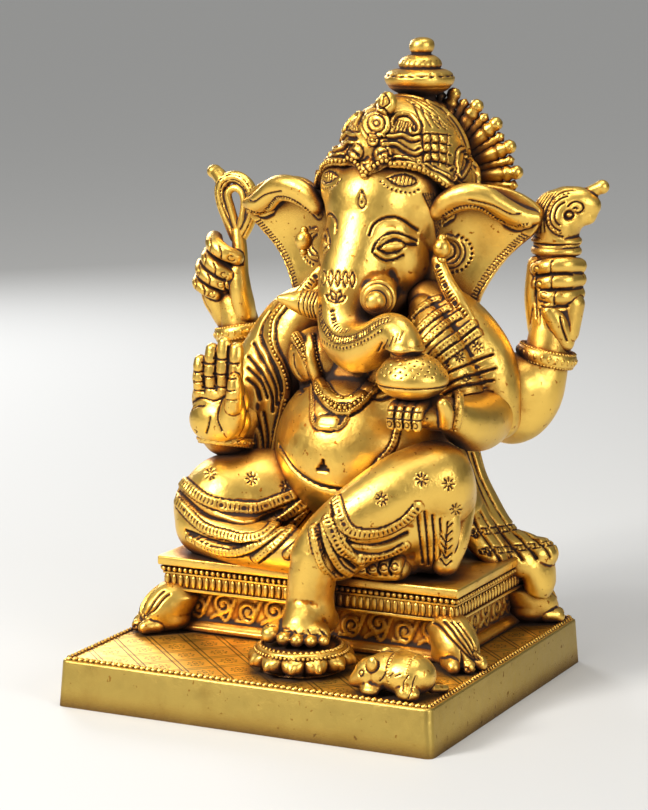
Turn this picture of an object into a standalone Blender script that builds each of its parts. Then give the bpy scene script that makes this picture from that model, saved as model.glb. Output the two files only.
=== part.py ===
# A seated elephant-headed idol in cast brass: a hollow plinth, a four-footed throne screwed to it from below,
# and a figure brazed together from separate castings. The idol faces -Y, and its right side is at -X.
# All sizes below are millimetres; MM turns them into Blender's metres. The origin is the plinth's bottom centre.

import math

import bmesh
import bpy
from mathutils import Euler, Matrix, Vector
from mathutils.bvhtree import BVHTree

MM = 0.001
GAP = 0.45  # room left for braze between two castings
FINE = 1.1  # voxel of hands, feet and ornaments
COARSE = 1.8  # voxel of the body's large masses

# The plinth and what stands on it
PLINTH_WIDTH, PLINTH_DEPTH, PLINTH_HEIGHT = 160.0, 152.0, 18.5
PLINTH_DRAFT, PLINTH_WALL, PLINTH_CORNER = 1.2, 5.0, 3.0
SEAT_HALF_WIDTH, SEAT_FRONT, SEAT_BACK = 66.0, -20.5, 64.0
SEAT_BOTTOM, SEAT_TOP = 36.0, 50.0
APRON_INSET = 8.5
BOLT_REACH, BOLT_RADIUS, BOLT_HEAD_RADIUS, BOLT_HEAD_HEIGHT = 12.5, 3.0, 5.5, 4.0
BOLT_PLACES = [(-46, 0), (46, 0), (-46, 46), (46, 46)]
LOTUS_CENTRE, LOTUS_RADIUS, LOTUS_TOP, LOTUS_PETALS = (11.5, -45.0), 18.0, 28.8, 12

# The figure's own centre plane, and the centres of its main masses
MIDDLE = 5.0
HEAD = Vector((6, 42, 183))
CROWN = Vector((8.5, 48, 203))
CROWN_RADII = (35, 29, 30.5)
CROWN_HEM = 193.0
FINIAL_AXIS, FINIAL_FOOT = (10.5, 62.5), 225.6
FAN_CENTRE, FAN_RADII, FAN_THICKNESS, FAN_RAYS = Vector((8.5, 66, 196)), (46, 43), 4.5, 27

BRASS = ("antique_brass", (0.78, 0.56, 0.20), 0.30)
STEEL = ("plain_steel", (0.55, 0.55, 0.56), 0.40)


def clear_scene():
    for old in list(bpy.data.objects):
        bpy.data.objects.remove(old, do_unlink=True)


def finish_of(name, finish):
    label, colour, roughness = finish
    made = bpy.data.materials.new(f"{name}_{label}")
    made.use_nodes = True
    shader = made.node_tree.nodes["Principled BSDF"]
    shader.inputs["Base Color"].default_value = (*colour, 1)
    shader.inputs["Metallic"].default_value = 1.0
    shader.inputs["Roughness"].default_value = roughness
    return made


def add_piece(name, bm, finish=BRASS):
    """Turns a bmesh drawn in millimetres into a named object."""
    bmesh.ops.scale(bm, vec=(MM, MM, MM), verts=bm.verts)
    bmesh.ops.recalc_face_normals(bm, faces=bm.faces)
    mesh = bpy.data.meshes.new(name)
    bm.to_mesh(mesh)
    bm.free()
    piece = bpy.data.objects.new(name, mesh)
    bpy.context.scene.collection.objects.link(piece)
    mesh.materials.append(finish_of(name, finish))
    mesh.set_sharp_from_angle(angle=math.radians(35))
    return piece


def bake_modifiers(piece):
    """Replaces the piece's mesh by what its modifiers make of it."""
    graph = bpy.context.evaluated_depsgraph_get()
    baked = bpy.data.meshes.new_from_object(piece.evaluated_get(graph))
    piece.modifiers.clear()
    piece.data = baked


def keep_largest(piece):
    """Drops the chips that a cut leaves beside the main body."""
    bm = bmesh.new()
    bm.from_mesh(piece.data)
    islands, left = [], set(bm.verts)
    while left:
        island, edge_of = set(), [left.pop()]
        while edge_of:
            vertex = edge_of.pop()
            island.add(vertex)
            for edge in vertex.link_edges:
                other = edge.other_vert(vertex)
                if other in left:
                    left.remove(other)
                    edge_of.append(other)
        islands.append(island)
    islands.sort(key=len)
    for island in islands[:-1]:
        bmesh.ops.delete(bm, geom=list(island), context="VERTS")
    bm.to_mesh(piece.data)
    bm.free()


# ---- shapes that are fused into one casting; each maker adds itself to a bmesh, in millimetres


def ball(centre, radii, turn=(0, 0, 0)):
    if not hasattr(radii, "__len__"):
        radii = (radii,) * 3

    def make(bm):
        turned = Euler([math.radians(a) for a in turn]).to_matrix().to_4x4()
        matrix = Matrix.Translation(centre) @ turned @ Matrix.Diagonal((*radii, 1))
        bmesh.ops.create_icosphere(bm, subdivisions=3, radius=1, matrix=matrix)

    return make


def limb(*stations):
    """A tapering, curved limb through (x, y, z, radius) stations, with round ends."""
    path = through(stations)

    def make(bm):
        for x, y, z, radius in path:
            place = Matrix.Translation((x, y, z))
            bmesh.ops.create_icosphere(bm, subdivisions=2, radius=radius, matrix=place)

    return make


def through(stations):
    """Points on a smooth curve through the stations, spaced by a quarter of the local radius."""
    points = [Vector(s) for s in stations]
    ends = [2 * points[0] - points[1], *points, 2 * points[-1] - points[-2]]
    path = []
    for a, b, c, d in zip(ends, ends[1:], ends[2:], ends[3:]):
        length = (c - b).to_3d().length
        steps = max(2, math.ceil(length / (0.25 * max(1.0, min(b.w, c.w)))))
        for i in range(steps):
            t = i / steps
            bend = 2 * b + (c - a) * t + (2 * a - 5 * b + 4 * c - d) * t * t
            path.append(0.5 * (bend + (3 * b - a - 3 * c + d) * t * t * t))
    return path + [points[-1]]


def plate(outline, thickness, towards):
    """A flap of even thickness whose front follows the outline's points; towards is its back's direction."""
    shift = Vector(towards).normalized() * thickness

    def make(bm):
        front = bm.faces.new([bm.verts.new(p) for p in outline])
        grown = bmesh.ops.extrude_face_region(bm, geom=[front], use_keep_orig=True)
        moved = [v for v in grown["geom"] if isinstance(v, bmesh.types.BMVert)]
        bmesh.ops.translate(bm, vec=shift, verts=moved)

    return make


def fuse(name, shapes, triangles, voxel=COARSE, floor=None, finish=BRASS):
    """Melts overlapping shapes into one skin, thinned to about that many triangles."""
    bm = bmesh.new()
    for shape in shapes:
        shape(bm)
    piece = add_piece(name, bm, finish)
    skin = piece.modifiers.new("one_skin", "REMESH")
    skin.mode, skin.voxel_size = "VOXEL", voxel * MM
    soften = piece.modifiers.new("soften", "SMOOTH")
    soften.factor, soften.iterations = 0.5, 3
    bake_modifiers(piece)
    thin = piece.modifiers.new("thin", "DECIMATE")
    thin.ratio = min(1.0, triangles / (2 * len(piece.data.polygons)))
    bake_modifiers(piece)
    if floor is not None:
        cut_below(piece, floor)
    return piece


def cut_below(piece, height):
    """Leaves a flat face at that height."""
    bm = bmesh.new()
    bm.from_mesh(piece.data)
    everything = list(bm.verts) + list(bm.edges) + list(bm.faces)
    level = Vector((0, 0, height * MM))
    bmesh.ops.bisect_plane(bm, geom=everything, plane_co=level, plane_no=(0, 0, 1), clear_inner=True, dist=1e-7)
    rim = [e for e in bm.edges if e.is_boundary]
    bmesh.ops.holes_fill(bm, edges=rim)
    bmesh.ops.recalc_face_normals(bm, faces=bm.faces)
    bm.to_mesh(piece.data)
    bm.free()


def fit_against(piece, *neighbours):
    """Cuts the piece back to a braze gap from its neighbours, which keep their shape."""
    for neighbour in neighbours:
        tool = bpy.data.objects.new("tool", neighbour.data.copy())
        bpy.context.scene.collection.objects.link(tool)
        tool.location = neighbour.location
        swell = tool.modifiers.new("swell", "DISPLACE")
        swell.mid_level, swell.strength = 0.0, GAP * MM
        cut = piece.modifiers.new("fit", "BOOLEAN")
        cut.operation, cut.solver, cut.object = "DIFFERENCE", "EXACT", tool
        bake_modifiers(piece)
        bpy.data.objects.remove(tool, do_unlink=True)
    keep_largest(piece)
    return piece


def laid_on(target, points, lift):
    """The points, moved onto the target's surface and raised by lift."""
    tree = BVHTree.FromObject(target, bpy.context.evaluated_depsgraph_get())
    laid = []
    for point in points:
        spot, normal, _, _ = tree.find_nearest(Vector(point) * MM)
        laid.append(spot / MM + normal * lift)
    return laid


# ---- the plinth and the throne


def layered(name, layers, finish=BRASS):
    """A moulded block from rectangular layers (half_width, front, back, height), lowest first."""
    bm = bmesh.new()
    rings = []
    for half, front, back, height in layers:
        corners = [(-half, front), (half, front), (half, back), (-half, back)]
        rings.append([bm.verts.new((x, y, height)) for x, y in corners])
    bm.faces.new(rings[0][::-1])
    bm.faces.new(rings[-1])
    for low, high in zip(rings, rings[1:]):
        for i in range(4):
            j = (i + 1) % 4
            bm.faces.new([low[i], low[j], high[j], high[i]])
    return add_piece(name, bm, finish)


def make_plinth():
    half, deep = PLINTH_WIDTH / 2, PLINTH_DEPTH / 2
    draft, wall = PLINTH_DRAFT, PLINTH_WALL
    plinth = layered("plinth", [
        (half, -deep, deep, 0),
        (half - draft, -deep + draft, deep - draft, PLINTH_HEIGHT - 0.9),
        (half - draft - 0.9, -deep + draft + 0.9, deep - draft - 0.9, PLINTH_HEIGHT),
    ])
    soften_corners(plinth, PLINTH_CORNER)
    roof = PLINTH_HEIGHT - wall
    hollow = layered("hollow", [
        (half - wall, -deep + wall, deep - wall, -2),
        (half - wall - draft, -deep + wall + draft, deep - wall - draft, roof),
    ])
    carve(plinth, hollow)
    for x, y in BOLT_PLACES:
        carve(plinth, drum("hole", (x, y), BOLT_RADIUS + GAP, roof - 1, PLINTH_HEIGHT + 1))
    return plinth


def soften_corners(piece, radius):
    """Rounds the upright edges of a block."""
    bm = bmesh.new()
    bm.from_mesh(piece.data)
    upright = [e for e in bm.edges if abs((e.verts[0].co - e.verts[1].co).normalized().z) > 0.7]
    bmesh.ops.bevel(bm, geom=upright, offset=radius * MM, segments=3, profile=0.5, affect="EDGES", material=-1)
    bm.to_mesh(piece.data)
    bm.free()


def carve(piece, cutter):
    cut = piece.modifiers.new("carve", "BOOLEAN")
    cut.operation, cut.solver, cut.object = "DIFFERENCE", "EXACT", cutter
    bake_modifiers(piece)
    bpy.data.objects.remove(cutter, do_unlink=True)


def drum(name, centre, radius, bottom, top, sides=16, finish=BRASS):
    bm = bmesh.new()
    place = Matrix.Translation((*centre, (bottom + top) / 2))
    bmesh.ops.create_cone(bm, cap_ends=True, segments=sides, radius1=radius, radius2=radius,
                          depth=top - bottom, matrix=place)
    return add_piece(name, bm, finish)


def make_throne():
    half, front, back = SEAT_HALF_WIDTH, SEAT_FRONT, SEAT_BACK
    steps = [(1.6, SEAT_BOTTOM), (1.0, SEAT_BOTTOM + 1.4), (1.6, SEAT_BOTTOM + 7.2), (0.9, SEAT_BOTTOM + 7.8),
             (0.9, SEAT_BOTTOM + 10.2), (0, SEAT_BOTTOM + 10.8), (0, SEAT_TOP - 0.8), (0.8, SEAT_TOP)]
    seat = layered("throne_seat", [(half - inset, front + inset, back - inset, z) for inset, z in steps])
    inset = APRON_INSET
    foot, roof = PLINTH_HEIGHT + GAP, SEAT_BOTTOM - GAP
    moulding = [(inset - 4, foot), (inset - 4, foot + 2.2), (inset - 1.5, foot + 4.4), (inset, foot + 4.8), (inset, roof)]
    apron = layered("throne_apron", [(half - step, front + step, back - step, z) for step, z in moulding])
    for x, y in BOLT_PLACES:
        reach = PLINTH_HEIGHT + BOLT_REACH
        carve(apron, drum("hole", (x, y), BOLT_RADIUS + GAP, foot - 1, reach))
    return seat, apron


def make_throne_foot(name, side, end, apron):
    """A lion's paw under one corner of the seat, its toe turned out along the diagonal."""
    corner = Vector((side * (SEAT_HALF_WIDTH - 5), SEAT_FRONT + 5 if end < 0 else SEAT_BACK - 5, 0))
    out = Vector((side, end * 0.8, 0)).normalized()

    def at(reach, height, radius):
        return (*(corner + out * reach).to_2d(), height, radius)

    low = PLINTH_HEIGHT
    shapes = [
        limb(at(-1, low + 14, 6.5), at(1.5, low + 9, 8), at(5, low + 5, 6.5), at(12, low + 3.6, 4.2)),
        limb(at(-2, low + 4, 5.5), at(6, low + 3.6, 5.5)),
    ]
    foot = fuse(name, shapes, 140, FINE, PLINTH_HEIGHT + GAP)
    roof = layered("roof", [(90, -90, 90, SEAT_BOTTOM - GAP), (90, -90, 90, SEAT_BOTTOM + 30)])
    carve(foot, roof)
    return fit_against(foot, apron)


def make_lotus():
    bm = bmesh.new()
    sides = 2 * LOTUS_PETALS
    x, y = LOTUS_CENTRE
    low = PLINTH_HEIGHT + GAP
    rings = [(0.90, low, 0), (1.18, low + 2.5, 0.09), (1.16, low + 5.5, 0.07), (1.0, low + 8, 0.02),
             (0.96, LOTUS_TOP, 0), (0.80, LOTUS_TOP, 0), (0.78, LOTUS_TOP - 0.7, 0)]
    loops = []
    for share, height, lobe in rings:
        ring = []
        for i in range(sides):
            angle = 2 * math.pi * i / sides
            radius = LOTUS_RADIUS * (share + (lobe if i % 2 else -lobe))
            ring.append(bm.verts.new((x + radius * math.cos(angle), y + radius * math.sin(angle), height)))
        loops.append(ring)
    bm.faces.new(loops[0][::-1])
    bm.faces.new(loops[-1])
    for low_ring, high_ring in zip(loops, loops[1:]):
        for i in range(sides):
            j = (i + 1) % sides
            bm.faces.new([low_ring[i], low_ring[j], high_ring[j], high_ring[i]])
    return add_piece("lotus_footrest", bm)


def make_mouse():
    shapes = [
        ball((62, -62, 25.5), (13, 9, 7.5)), ball((49, -63, 24.5), (8, 6.5, 6)),
        limb((45, -64, 24, 4.5), (39, -65, 22, 2.2)),
        ball((49, -57.5, 29), (2.6, 1.8, 3)), ball((49, -68.5, 29), (2.6, 1.8, 3)),
        limb((72, -60, 21, 2.2), (74, -52, 20.5, 1.8), (68, -47, 20.3, 1.5)),
    ]
    return fuse("mouse", shapes, 200, FINE, PLINTH_HEIGHT + GAP)


def make_bolt(name, place):
    x, y = place
    roof = PLINTH_HEIGHT - PLINTH_WALL - GAP
    head = drum(name, (x, y), BOLT_HEAD_RADIUS, roof - BOLT_HEAD_HEIGHT, roof, 6, STEEL)
    shank = drum("shank", (x, y), BOLT_RADIUS, roof - 1, PLINTH_HEIGHT + BOLT_REACH - 1, 12)
    join = head.modifiers.new("join", "BOOLEAN")
    join.operation, join.solver, join.object = "UNION", "EXACT", shank
    bake_modifiers(head)
    bpy.data.objects.remove(shank, do_unlink=True)
    return head


# ---- the figure


def make_torso():
    shapes = [
        ball((MIDDLE, 26, 93), (38, 38, 35)), ball((MIDDLE, 40, 122), (36, 26, 28)),
        ball((MIDDLE, 38, 68), (46, 28, 22)), limb((MIDDLE, 42, 138, 18), (MIDDLE + 1, 43, 156, 16)),
        ball((-27, 42, 133), 13), ball((38, 42, 133), 13),
    ]
    return fuse("torso", shapes, 420, COARSE, SEAT_TOP + GAP)


def make_head(torso):
    shapes = [
        ball(HEAD, (28.5, 29, 30)), ball(HEAD + Vector((-0.5, -7, 3)), (23, 20, 22)),
        ball(HEAD + Vector((-0.5, -12, -15)), (20, 19, 18)),
        ball((-8.5, 30, 163), 11), ball((20, 30, 163), 11),
    ]
    return fit_against(fuse("head", shapes, 250), torso)


def make_trunk(head, torso):
    shapes = [limb((5.5, 26, 178, 16), (5, 20, 168, 14), (4.5, 13, 157, 11.5), (4.5, 10, 146, 11),
                   (7, 6, 139, 10.4), (14, 2, 136.5, 9.8), (22, -3, 138.5, 8.8), (28, -7, 143, 7.8),
                   (33, -10, 147, 7.0), (38, -13, 146, 6.7), (40.5, -14.5, 142, 6.9), (41, -15, 141, 7.2))]
    return fit_against(fuse("trunk", shapes, 250, 1.5), head, torso)


def make_ear(name, side, head, torso, crown):
    """A broad flap that turns forward along its top edge; side is -1 on the idol's right."""
    centre = MIDDLE + 0.5

    def at(away, back, height):
        return (centre + side * away, back, height)

    outline = [at(22, 35, 204), at(34, 39, 206), at(47, 44, 204), at(58, 48, 197), at(66, 52, 186),
               at(60, 49, 174), at(53, 46, 162), at(46, 42, 150), at(42, 38, 140), at(34, 35, 139),
               at(25, 34, 150), at(20, 34, 165)]
    roll = limb(*[(*at(a, b, h), 3.4) for a, b, h in
                  [(24, 31, 196), (34, 33, 203), (46, 38, 202), (57, 43, 195), (63, 48, 188)]])
    shapes = [plate(outline, 4.0, (-side * 0.35, 1, 0)), roll]
    return fit_against(fuse(name, shapes, 220, 1.3), head, torso, crown)


def make_crown(head):
    dome = fuse("crown", [ball(CROWN, CROWN_RADII), ball(CROWN + Vector((0, 6, 12)), (24, 22, 19))], 300, COARSE, CROWN_HEM)
    return fit_against(dome, head)


def make_finial(crown):
    """A turned stack: neck, wide disc, small disc and bud."""
    x, y = FINIAL_AXIS
    foot = FINIAL_FOOT
    profile = [(0, foot), (9.2, foot), (9.2, foot + 4.3), (6.3, foot + 5.4), (6.3, foot + 7.6), (8.5, foot + 8.8),
               (13.0, foot + 11), (13.4, foot + 13.6), (10.5, foot + 16.4), (6.2, foot + 17.5), (8.2, foot + 19.6),
               (6.8, foot + 22), (3.2, foot + 23.2), (4.8, foot + 26.2), (3.4, foot + 28.6), (0, foot + 29.4)]
    bm = bmesh.new()
    line = [bm.verts.new((x + r, y, z)) for r, z in profile]
    edges = [bm.edges.new(pair) for pair in zip(line, line[1:])]
    bmesh.ops.spin(bm, geom=line + edges, cent=(x, y, 0), axis=(0, 0, 1), angle=2 * math.pi,
                   steps=20, use_merge=True)
    bmesh.ops.remove_doubles(bm, verts=bm.verts, dist=0.001)
    return fit_against(add_piece("crown_finial", bm), crown)


def make_fan(crown, finial, head):
    """A half disc of rays standing behind the crown."""
    wide, high = FAN_RADII
    outline = []
    for i in range(2 * FAN_RAYS + 1):
        angle = math.radians(-12 + 204 * i / (2 * FAN_RAYS))
        reach = 1.0 if i % 2 else 0.90
        outline.append(FAN_CENTRE + Vector((wide * reach * math.cos(angle), 0, high * reach * math.sin(angle))))
    bm = bmesh.new()
    plate(outline, FAN_THICKNESS, (0, 1, 0))(bm)
    return fit_against(add_piece("halo_fan", bm), crown, finial, head)


def make_tusks(head, trunk, torso):
    whole = fuse("right_tusk", [limb((-3, 15, 149, 5.6), (-12, 9, 151, 4), (-20, 4, 154.5, 1.6))], 90, FINE)
    stub = fuse("left_tusk_stub", [limb((15, 16, 157, 6.6), (20, 5, 156.5, 6.6)), ball((22, 1.5, 156), 4.4)], 110, FINE)
    return fit_against(whole, head, trunk, torso), fit_against(stub, head, trunk, torso)


def fingers(palm_points, reach, radius):
    """Short rounded fingers from each palm point along reach."""
    return [limb((*p, radius), (*(Vector(p) + Vector(reach) * 0.5), radius), (*(Vector(p) + Vector(reach)), radius * 0.75))
            for p in palm_points]


def make_arms(torso):
    front_right = fuse("front_right_arm", [limb((-28, 40, 128, 11), (-40, 28, 112, 10.5), (-46, 14, 99, 10),
                                                (-48, 3, 98, 9), (-48.5, 0, 103, 8.2))], 140)
    rear_right = fuse("rear_right_arm", [limb((-32, 46, 130, 11), (-50, 52, 118, 10.5), (-62, 54, 122, 9.5),
                                              (-66, 55, 134, 7.4), (-69, 56, 143, 6.6))], 140)
    front_left = fuse("front_left_arm", [limb((46, 36, 118, 12), (60, 28, 102, 13), (66, 16, 99, 12),
                                              (63, 2, 107, 9.5), (58, -7, 114, 7.4))], 140)
    rear_left = fuse("rear_left_arm", [limb((42, 44, 130, 13), (56, 46, 113, 15), (68, 48, 113, 14.5),
                                            (75, 50, 124, 11), (75.5, 52, 134, 8.4), (75.5, 54, 142, 7.4))], 160)
    for arm in (front_right, rear_right, front_left, rear_left):
        fit_against(arm, torso)
    fit_against(front_left, rear_left)
    fit_against(front_right, rear_right)
    return front_right, rear_right, front_left, rear_left


def make_hands(arms):
    front_right, rear_right, front_left, rear_left = arms
    blessing = fuse("front_right_hand", [
        ball((-48, -3, 114), (11.5, 6, 13)), ball((-40, -7, 112), (5.5, 5, 9)), limb((-39, -8, 116, 4), (-37, -9, 126, 3)),
        *fingers([(-54, -4, 123), (-49.3, -4.5, 125), (-44.6, -4.5, 125), (-40.2, -4, 124)], (0, -1, 16), 2.5)], 260, FINE)
    holding = fuse("front_left_hand", [
        ball((48, -13, 116), (10.5, 8.5, 6.5)), limb((55, -9, 116, 6.5), (50, -11, 116, 7)),
        *fingers([(39, -20, 116), (43.5, -21.5, 115.5), (48, -22, 115), (52.5, -21.5, 115)], (-2, 0.5, -6.5), 2.4)], 170, FINE)
    fist = fuse("rear_right_hand", [
        ball((-74, 57, 157), (8.5, 8, 11)), limb((-70, 56, 147, 6), (-73, 57, 153, 7)),
        *fingers([(-81, 53, 150), (-82, 52, 155), (-82, 52, 160), (-80, 53, 165)], (10, -4, 2), 2.8)], 200, FINE)
    grip = fuse("rear_left_hand", [
        ball((75, 58, 159), (8.5, 8, 13)), limb((75.5, 55, 146, 6.6), (75.5, 57, 153, 7.5)),
        *fingers([(69, 52, 152), (69, 51.5, 157), (69, 51.5, 162), (70, 52, 167)], (12, -2.5, 1), 2.8)], 200, FINE)
    return (fit_against(blessing, front_right), fit_against(fist, rear_right),
            fit_against(holding, front_left), fit_against(grip, rear_left))


def make_attributes(fist, grip):
    noose = fuse("noose", [limb((-70, 57, 168, 3.4), (-76, 58, 186, 3.2), (-79, 59, 194, 3.4), (-75, 59, 199, 3.4),
                                (-68, 58, 197, 3.4), (-63, 57, 188, 3.2), (-66, 57, 172, 3.2)),
                           limb((-78, 59, 197, 3.4), (-84, 62, 201, 2.8), (-88, 64, 203, 2.6))], 180, FINE)
    goad = fuse("goad", [ball((75.5, 58, 176), (9, 9, 4)), limb((76, 58, 178, 6), (77, 59, 187, 8.5), (82, 61, 194, 7.5),
                                                              (86, 63, 197, 4.2), (89, 65, 200, 3.0))], 160, FINE)
    return fit_against(noose, fist), fit_against(goad, grip)


def make_bangle(name, centre, radius, thickness, axis, neighbours):
    bm = bmesh.new()
    wire = bmesh.ops.create_circle(bm, segments=8, radius=thickness, matrix=Matrix.Translation((radius, 0, 0))
                                   @ Matrix.Rotation(math.pi / 2, 4, "X"))["verts"]
    loop = wire + list({e for v in wire for e in v.link_edges})
    bmesh.ops.spin(bm, geom=loop, cent=(0, 0, 0), axis=(0, 0, 1), angle=2 * math.pi, steps=20, use_merge=True)
    bmesh.ops.remove_doubles(bm, verts=bm.verts, dist=0.001)
    turn = Vector(axis).to_track_quat("Z", "Y").to_matrix().to_4x4()
    bmesh.ops.transform(bm, matrix=Matrix.Translation(centre) @ turn, verts=bm.verts)
    return fit_against(add_piece(name, bm), *neighbours)


def make_legs(torso):
    right = fuse("right_leg", [
        limb((0, 32, 74, 22), (-28, 14, 72, 22), (-45, 2, 71, 20)),
        limb((-44, -4, 65, 16), (-24, -14, 60, 11.5), (8, -16, 58, 9), (24, -14, 57.5, 7.5))], 250, COARSE, SEAT_TOP + GAP)
    fit_against(right, torso)
    left = fuse("left_leg", [
        limb((20, 32, 74, 22), (42, 14, 76, 21), (54, -4, 83, 18)),
        limb((55, -12, 90, 16), (37, -23, 84, 13.2), (22, -30, 75, 11.6), (13, -34, 66, 10.2))], 250, COARSE, SEAT_TOP + GAP)
    fit_against(left, torso, right)
    right_foot = fuse("right_foot", [
        limb((22, -15, 56.5, 6.5), (32, -16, 56.5, 6.2), (38, -17, 56, 5.8)),
        *fingers([(38, -20.5, 57.5), (39, -17.5, 58.5), (39, -14.5, 58.5), (38, -11.5, 58)], (7, 0, 0), 2.3)], 140, FINE,
        SEAT_TOP + GAP)
    fit_against(right_foot, right, left)
    toes = fingers([(3.5, -46, 32.2), (8.6, -48, 31.6), (12.6, -48, 31.4), (16.2, -47, 31.2), (19.4, -45, 31)], (0, -6, 0), 2.2)
    left_foot = fuse("left_foot", [
        limb((12, -35, 60, 9.4), (9.5, -35, 50, 9.6), (8.5, -33, 41, 8.4), (9, -31, 35, 8.6)),
        limb((9.5, -36, 34, 7), (11, -44, 32, 6.5)), ball((11.5, -44, 32.4), (10.5, 7, 4.2)),
        limb((4, -44, 32.6, 3.4), (4, -50, 32, 3.2)), *toes], 250, FINE, LOTUS_TOP + GAP)
    fit_against(left_foot, left)
    return right, left, right_foot, left_foot


def make_cloth(torso, arms, legs, others):
    """The shawl over both shoulders, its two ends on the seat, and the sash end under the raised knee."""
    right = fuse("shawl_right", [limb((-16, 34, 152, 8), (-26, 31, 140, 12), (-33, 27, 122, 13), (-34, 20, 104, 10),
                                      (-31, 12, 90, 7))], 160)
    fit_against(right, torso, *arms, *legs, *others)
    left = fuse("shawl_left", [limb((28, 32, 152, 8), (40, 31, 142, 14), (52, 30, 130, 13), (57, 30, 119, 10))], 160)
    fit_against(left, torso, *arms, *others)
    for side, name in ((-1, "shawl_end_right"), (1, "shawl_end_left")):
        x = MIDDLE if side > 0 else -MIDDLE / 2
        end = fuse(name, [limb((x + side * 38, 52, 92, 7), (x + side * 45, 50, 76, 8), (x + side * 53, 46, 63, 9),
                               (x + side * 61, 43, 52, 8))], 130, COARSE, SEAT_TOP + GAP)
        fit_against(end, torso, *arms, *legs)
    sash = fuse("sash_end", [limb((60, 6, 72, 6), (59, -2, 64, 7), (57, -8, 56, 7.5))], 110, COARSE, SEAT_TOP + GAP)
    fit_against(sash, torso, *legs)
    return right, left


def make_jewels(torso, head, trunk, ears, shawls, hand):
    bead_line = [(-18, 14, 142), (-13, 6, 128), (-3, -2, 118), (9, -3, 114.5), (20, -1, 121), (28, 4, 133), (31, 14, 142)]
    chain = laid_on(torso, bead_line, 1.4)
    necklace = fuse("necklace", [limb(*[(*p, 2.6) for p in chain])], 160, FINE)
    fit_against(necklace, torso, head, trunk, *shawls)
    spot = laid_on(torso, [(0, -1, 107)], 0.5)[0]
    pendant = fuse("pendant", [ball(spot, (4.5, 2.4, 5))], 80, FINE)
    fit_against(pendant, torso, necklace)
    for side, name in ((-1, "right_earring"), (1, "left_earring")):
        drop = fuse(name, [ball((MIDDLE + 1 + side * 29, 31, 175), 4.8)], 80, FINE)
        fit_against(drop, head, *ears)
    modak = fuse("modak", [ball((46, -14, 130), (14.6, 13, 9.6)), ball((46, -14, 136), (9, 8, 6))], 160, FINE)
    fit_against(modak, hand, trunk)
    return necklace


def main():
    clear_scene()
    make_plinth()
    seat, apron = make_throne()
    for side, end, name in ((-1, -1, "front_right"), (1, -1, "front_left"), (-1, 1, "back_right"), (1, 1, "back_left")):
        make_throne_foot(f"throne_foot_{name}", side, end, apron)
    lotus = make_lotus()
    make_mouse()
    for number, place in enumerate(BOLT_PLACES, 1):
        make_bolt(f"hold_down_bolt_{number}", place)

    torso = make_torso()
    head = make_head(torso)
    crown = make_crown(head)
    finial = make_finial(crown)
    make_fan(crown, finial, head)
    trunk = make_trunk(head, torso)
    tusks = make_tusks(head, trunk, torso)
    ears = [make_ear("right_ear", -1, head, torso, crown), make_ear("left_ear", 1, head, torso, crown)]
    legs = make_legs(torso)
    fit_against(legs[3], lotus, seat, apron)
    arms = make_arms(torso)
    for arm in arms:
        fit_against(arm, *legs[:2], *ears)
    hands = make_hands(arms)
    for hand in hands:
        fit_against(hand, torso, *legs[:2])
    make_attributes(hands[1], hands[3])
    right_arm, rear_right_arm, left_arm, rear_left_arm = arms
    make_bangle("bangle_front_right", (-48.5, 0.5, 101), 8.6, 1.9, (0, 0, 1), (right_arm, hands[0], *legs[:2]))
    make_bangle("bangle_rear_right", (-68, 55.5, 139), 7.6, 2.2, (-0.25, 0, 1), (rear_right_arm, hands[1]))
    make_bangle("bangle_front_left", (59.5, -5, 112.5), 8.4, 1.8, (-0.5, -0.8, 0.5), (left_arm, hands[2], *legs[:2]))
    make_bangle("bangle_rear_left", (75.5, 52.5, 136), 8.8, 2.6, (0, 0.1, 1), (rear_left_arm, hands[3]))
    shawls = make_cloth(torso, arms, legs, (head, *ears, *tusks))
    make_jewels(torso, head, trunk, ears, shawls, hands[2])


main()
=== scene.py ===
import math

import bmesh
import bpy
import numpy as np
from mathutils import Euler, Matrix, Vector
from mathutils.bvhtree import BVHTree


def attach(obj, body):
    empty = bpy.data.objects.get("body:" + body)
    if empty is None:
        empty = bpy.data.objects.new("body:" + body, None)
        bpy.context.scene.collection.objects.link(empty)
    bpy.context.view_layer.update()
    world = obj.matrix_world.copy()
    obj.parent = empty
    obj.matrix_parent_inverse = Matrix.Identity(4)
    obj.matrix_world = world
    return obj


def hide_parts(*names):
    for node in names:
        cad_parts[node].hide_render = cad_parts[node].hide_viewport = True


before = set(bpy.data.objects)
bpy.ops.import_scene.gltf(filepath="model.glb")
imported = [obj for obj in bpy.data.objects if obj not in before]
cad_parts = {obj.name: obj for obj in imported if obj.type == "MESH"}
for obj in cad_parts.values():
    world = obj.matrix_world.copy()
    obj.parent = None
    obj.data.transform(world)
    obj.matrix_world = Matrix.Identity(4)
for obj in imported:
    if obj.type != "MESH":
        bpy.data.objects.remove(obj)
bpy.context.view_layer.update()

scene = bpy.context.scene
mm = 0.001

# every length below is in millimetres, each mesh goes to metres when it is finished
sight = Vector((-0.434, 0.884, -0.174))  # the way the lens looks
ahead = Vector((0, 1, 0))
fullTurn = 2 * math.pi


def newPiece(name, bm):
    bmesh.ops.recalc_face_normals(bm, faces=bm.faces)
    mesh = bpy.data.meshes.new(name)
    bm.to_mesh(mesh)
    bm.free()
    piece = bpy.data.objects.new(name, mesh)
    scene.collection.objects.link(piece)
    return piece


def applyAll(piece):
    graph = bpy.context.evaluated_depsgraph_get()
    made = bpy.data.meshes.new_from_object(piece.evaluated_get(graph))
    piece.modifiers.clear()
    piece.data = made


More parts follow.
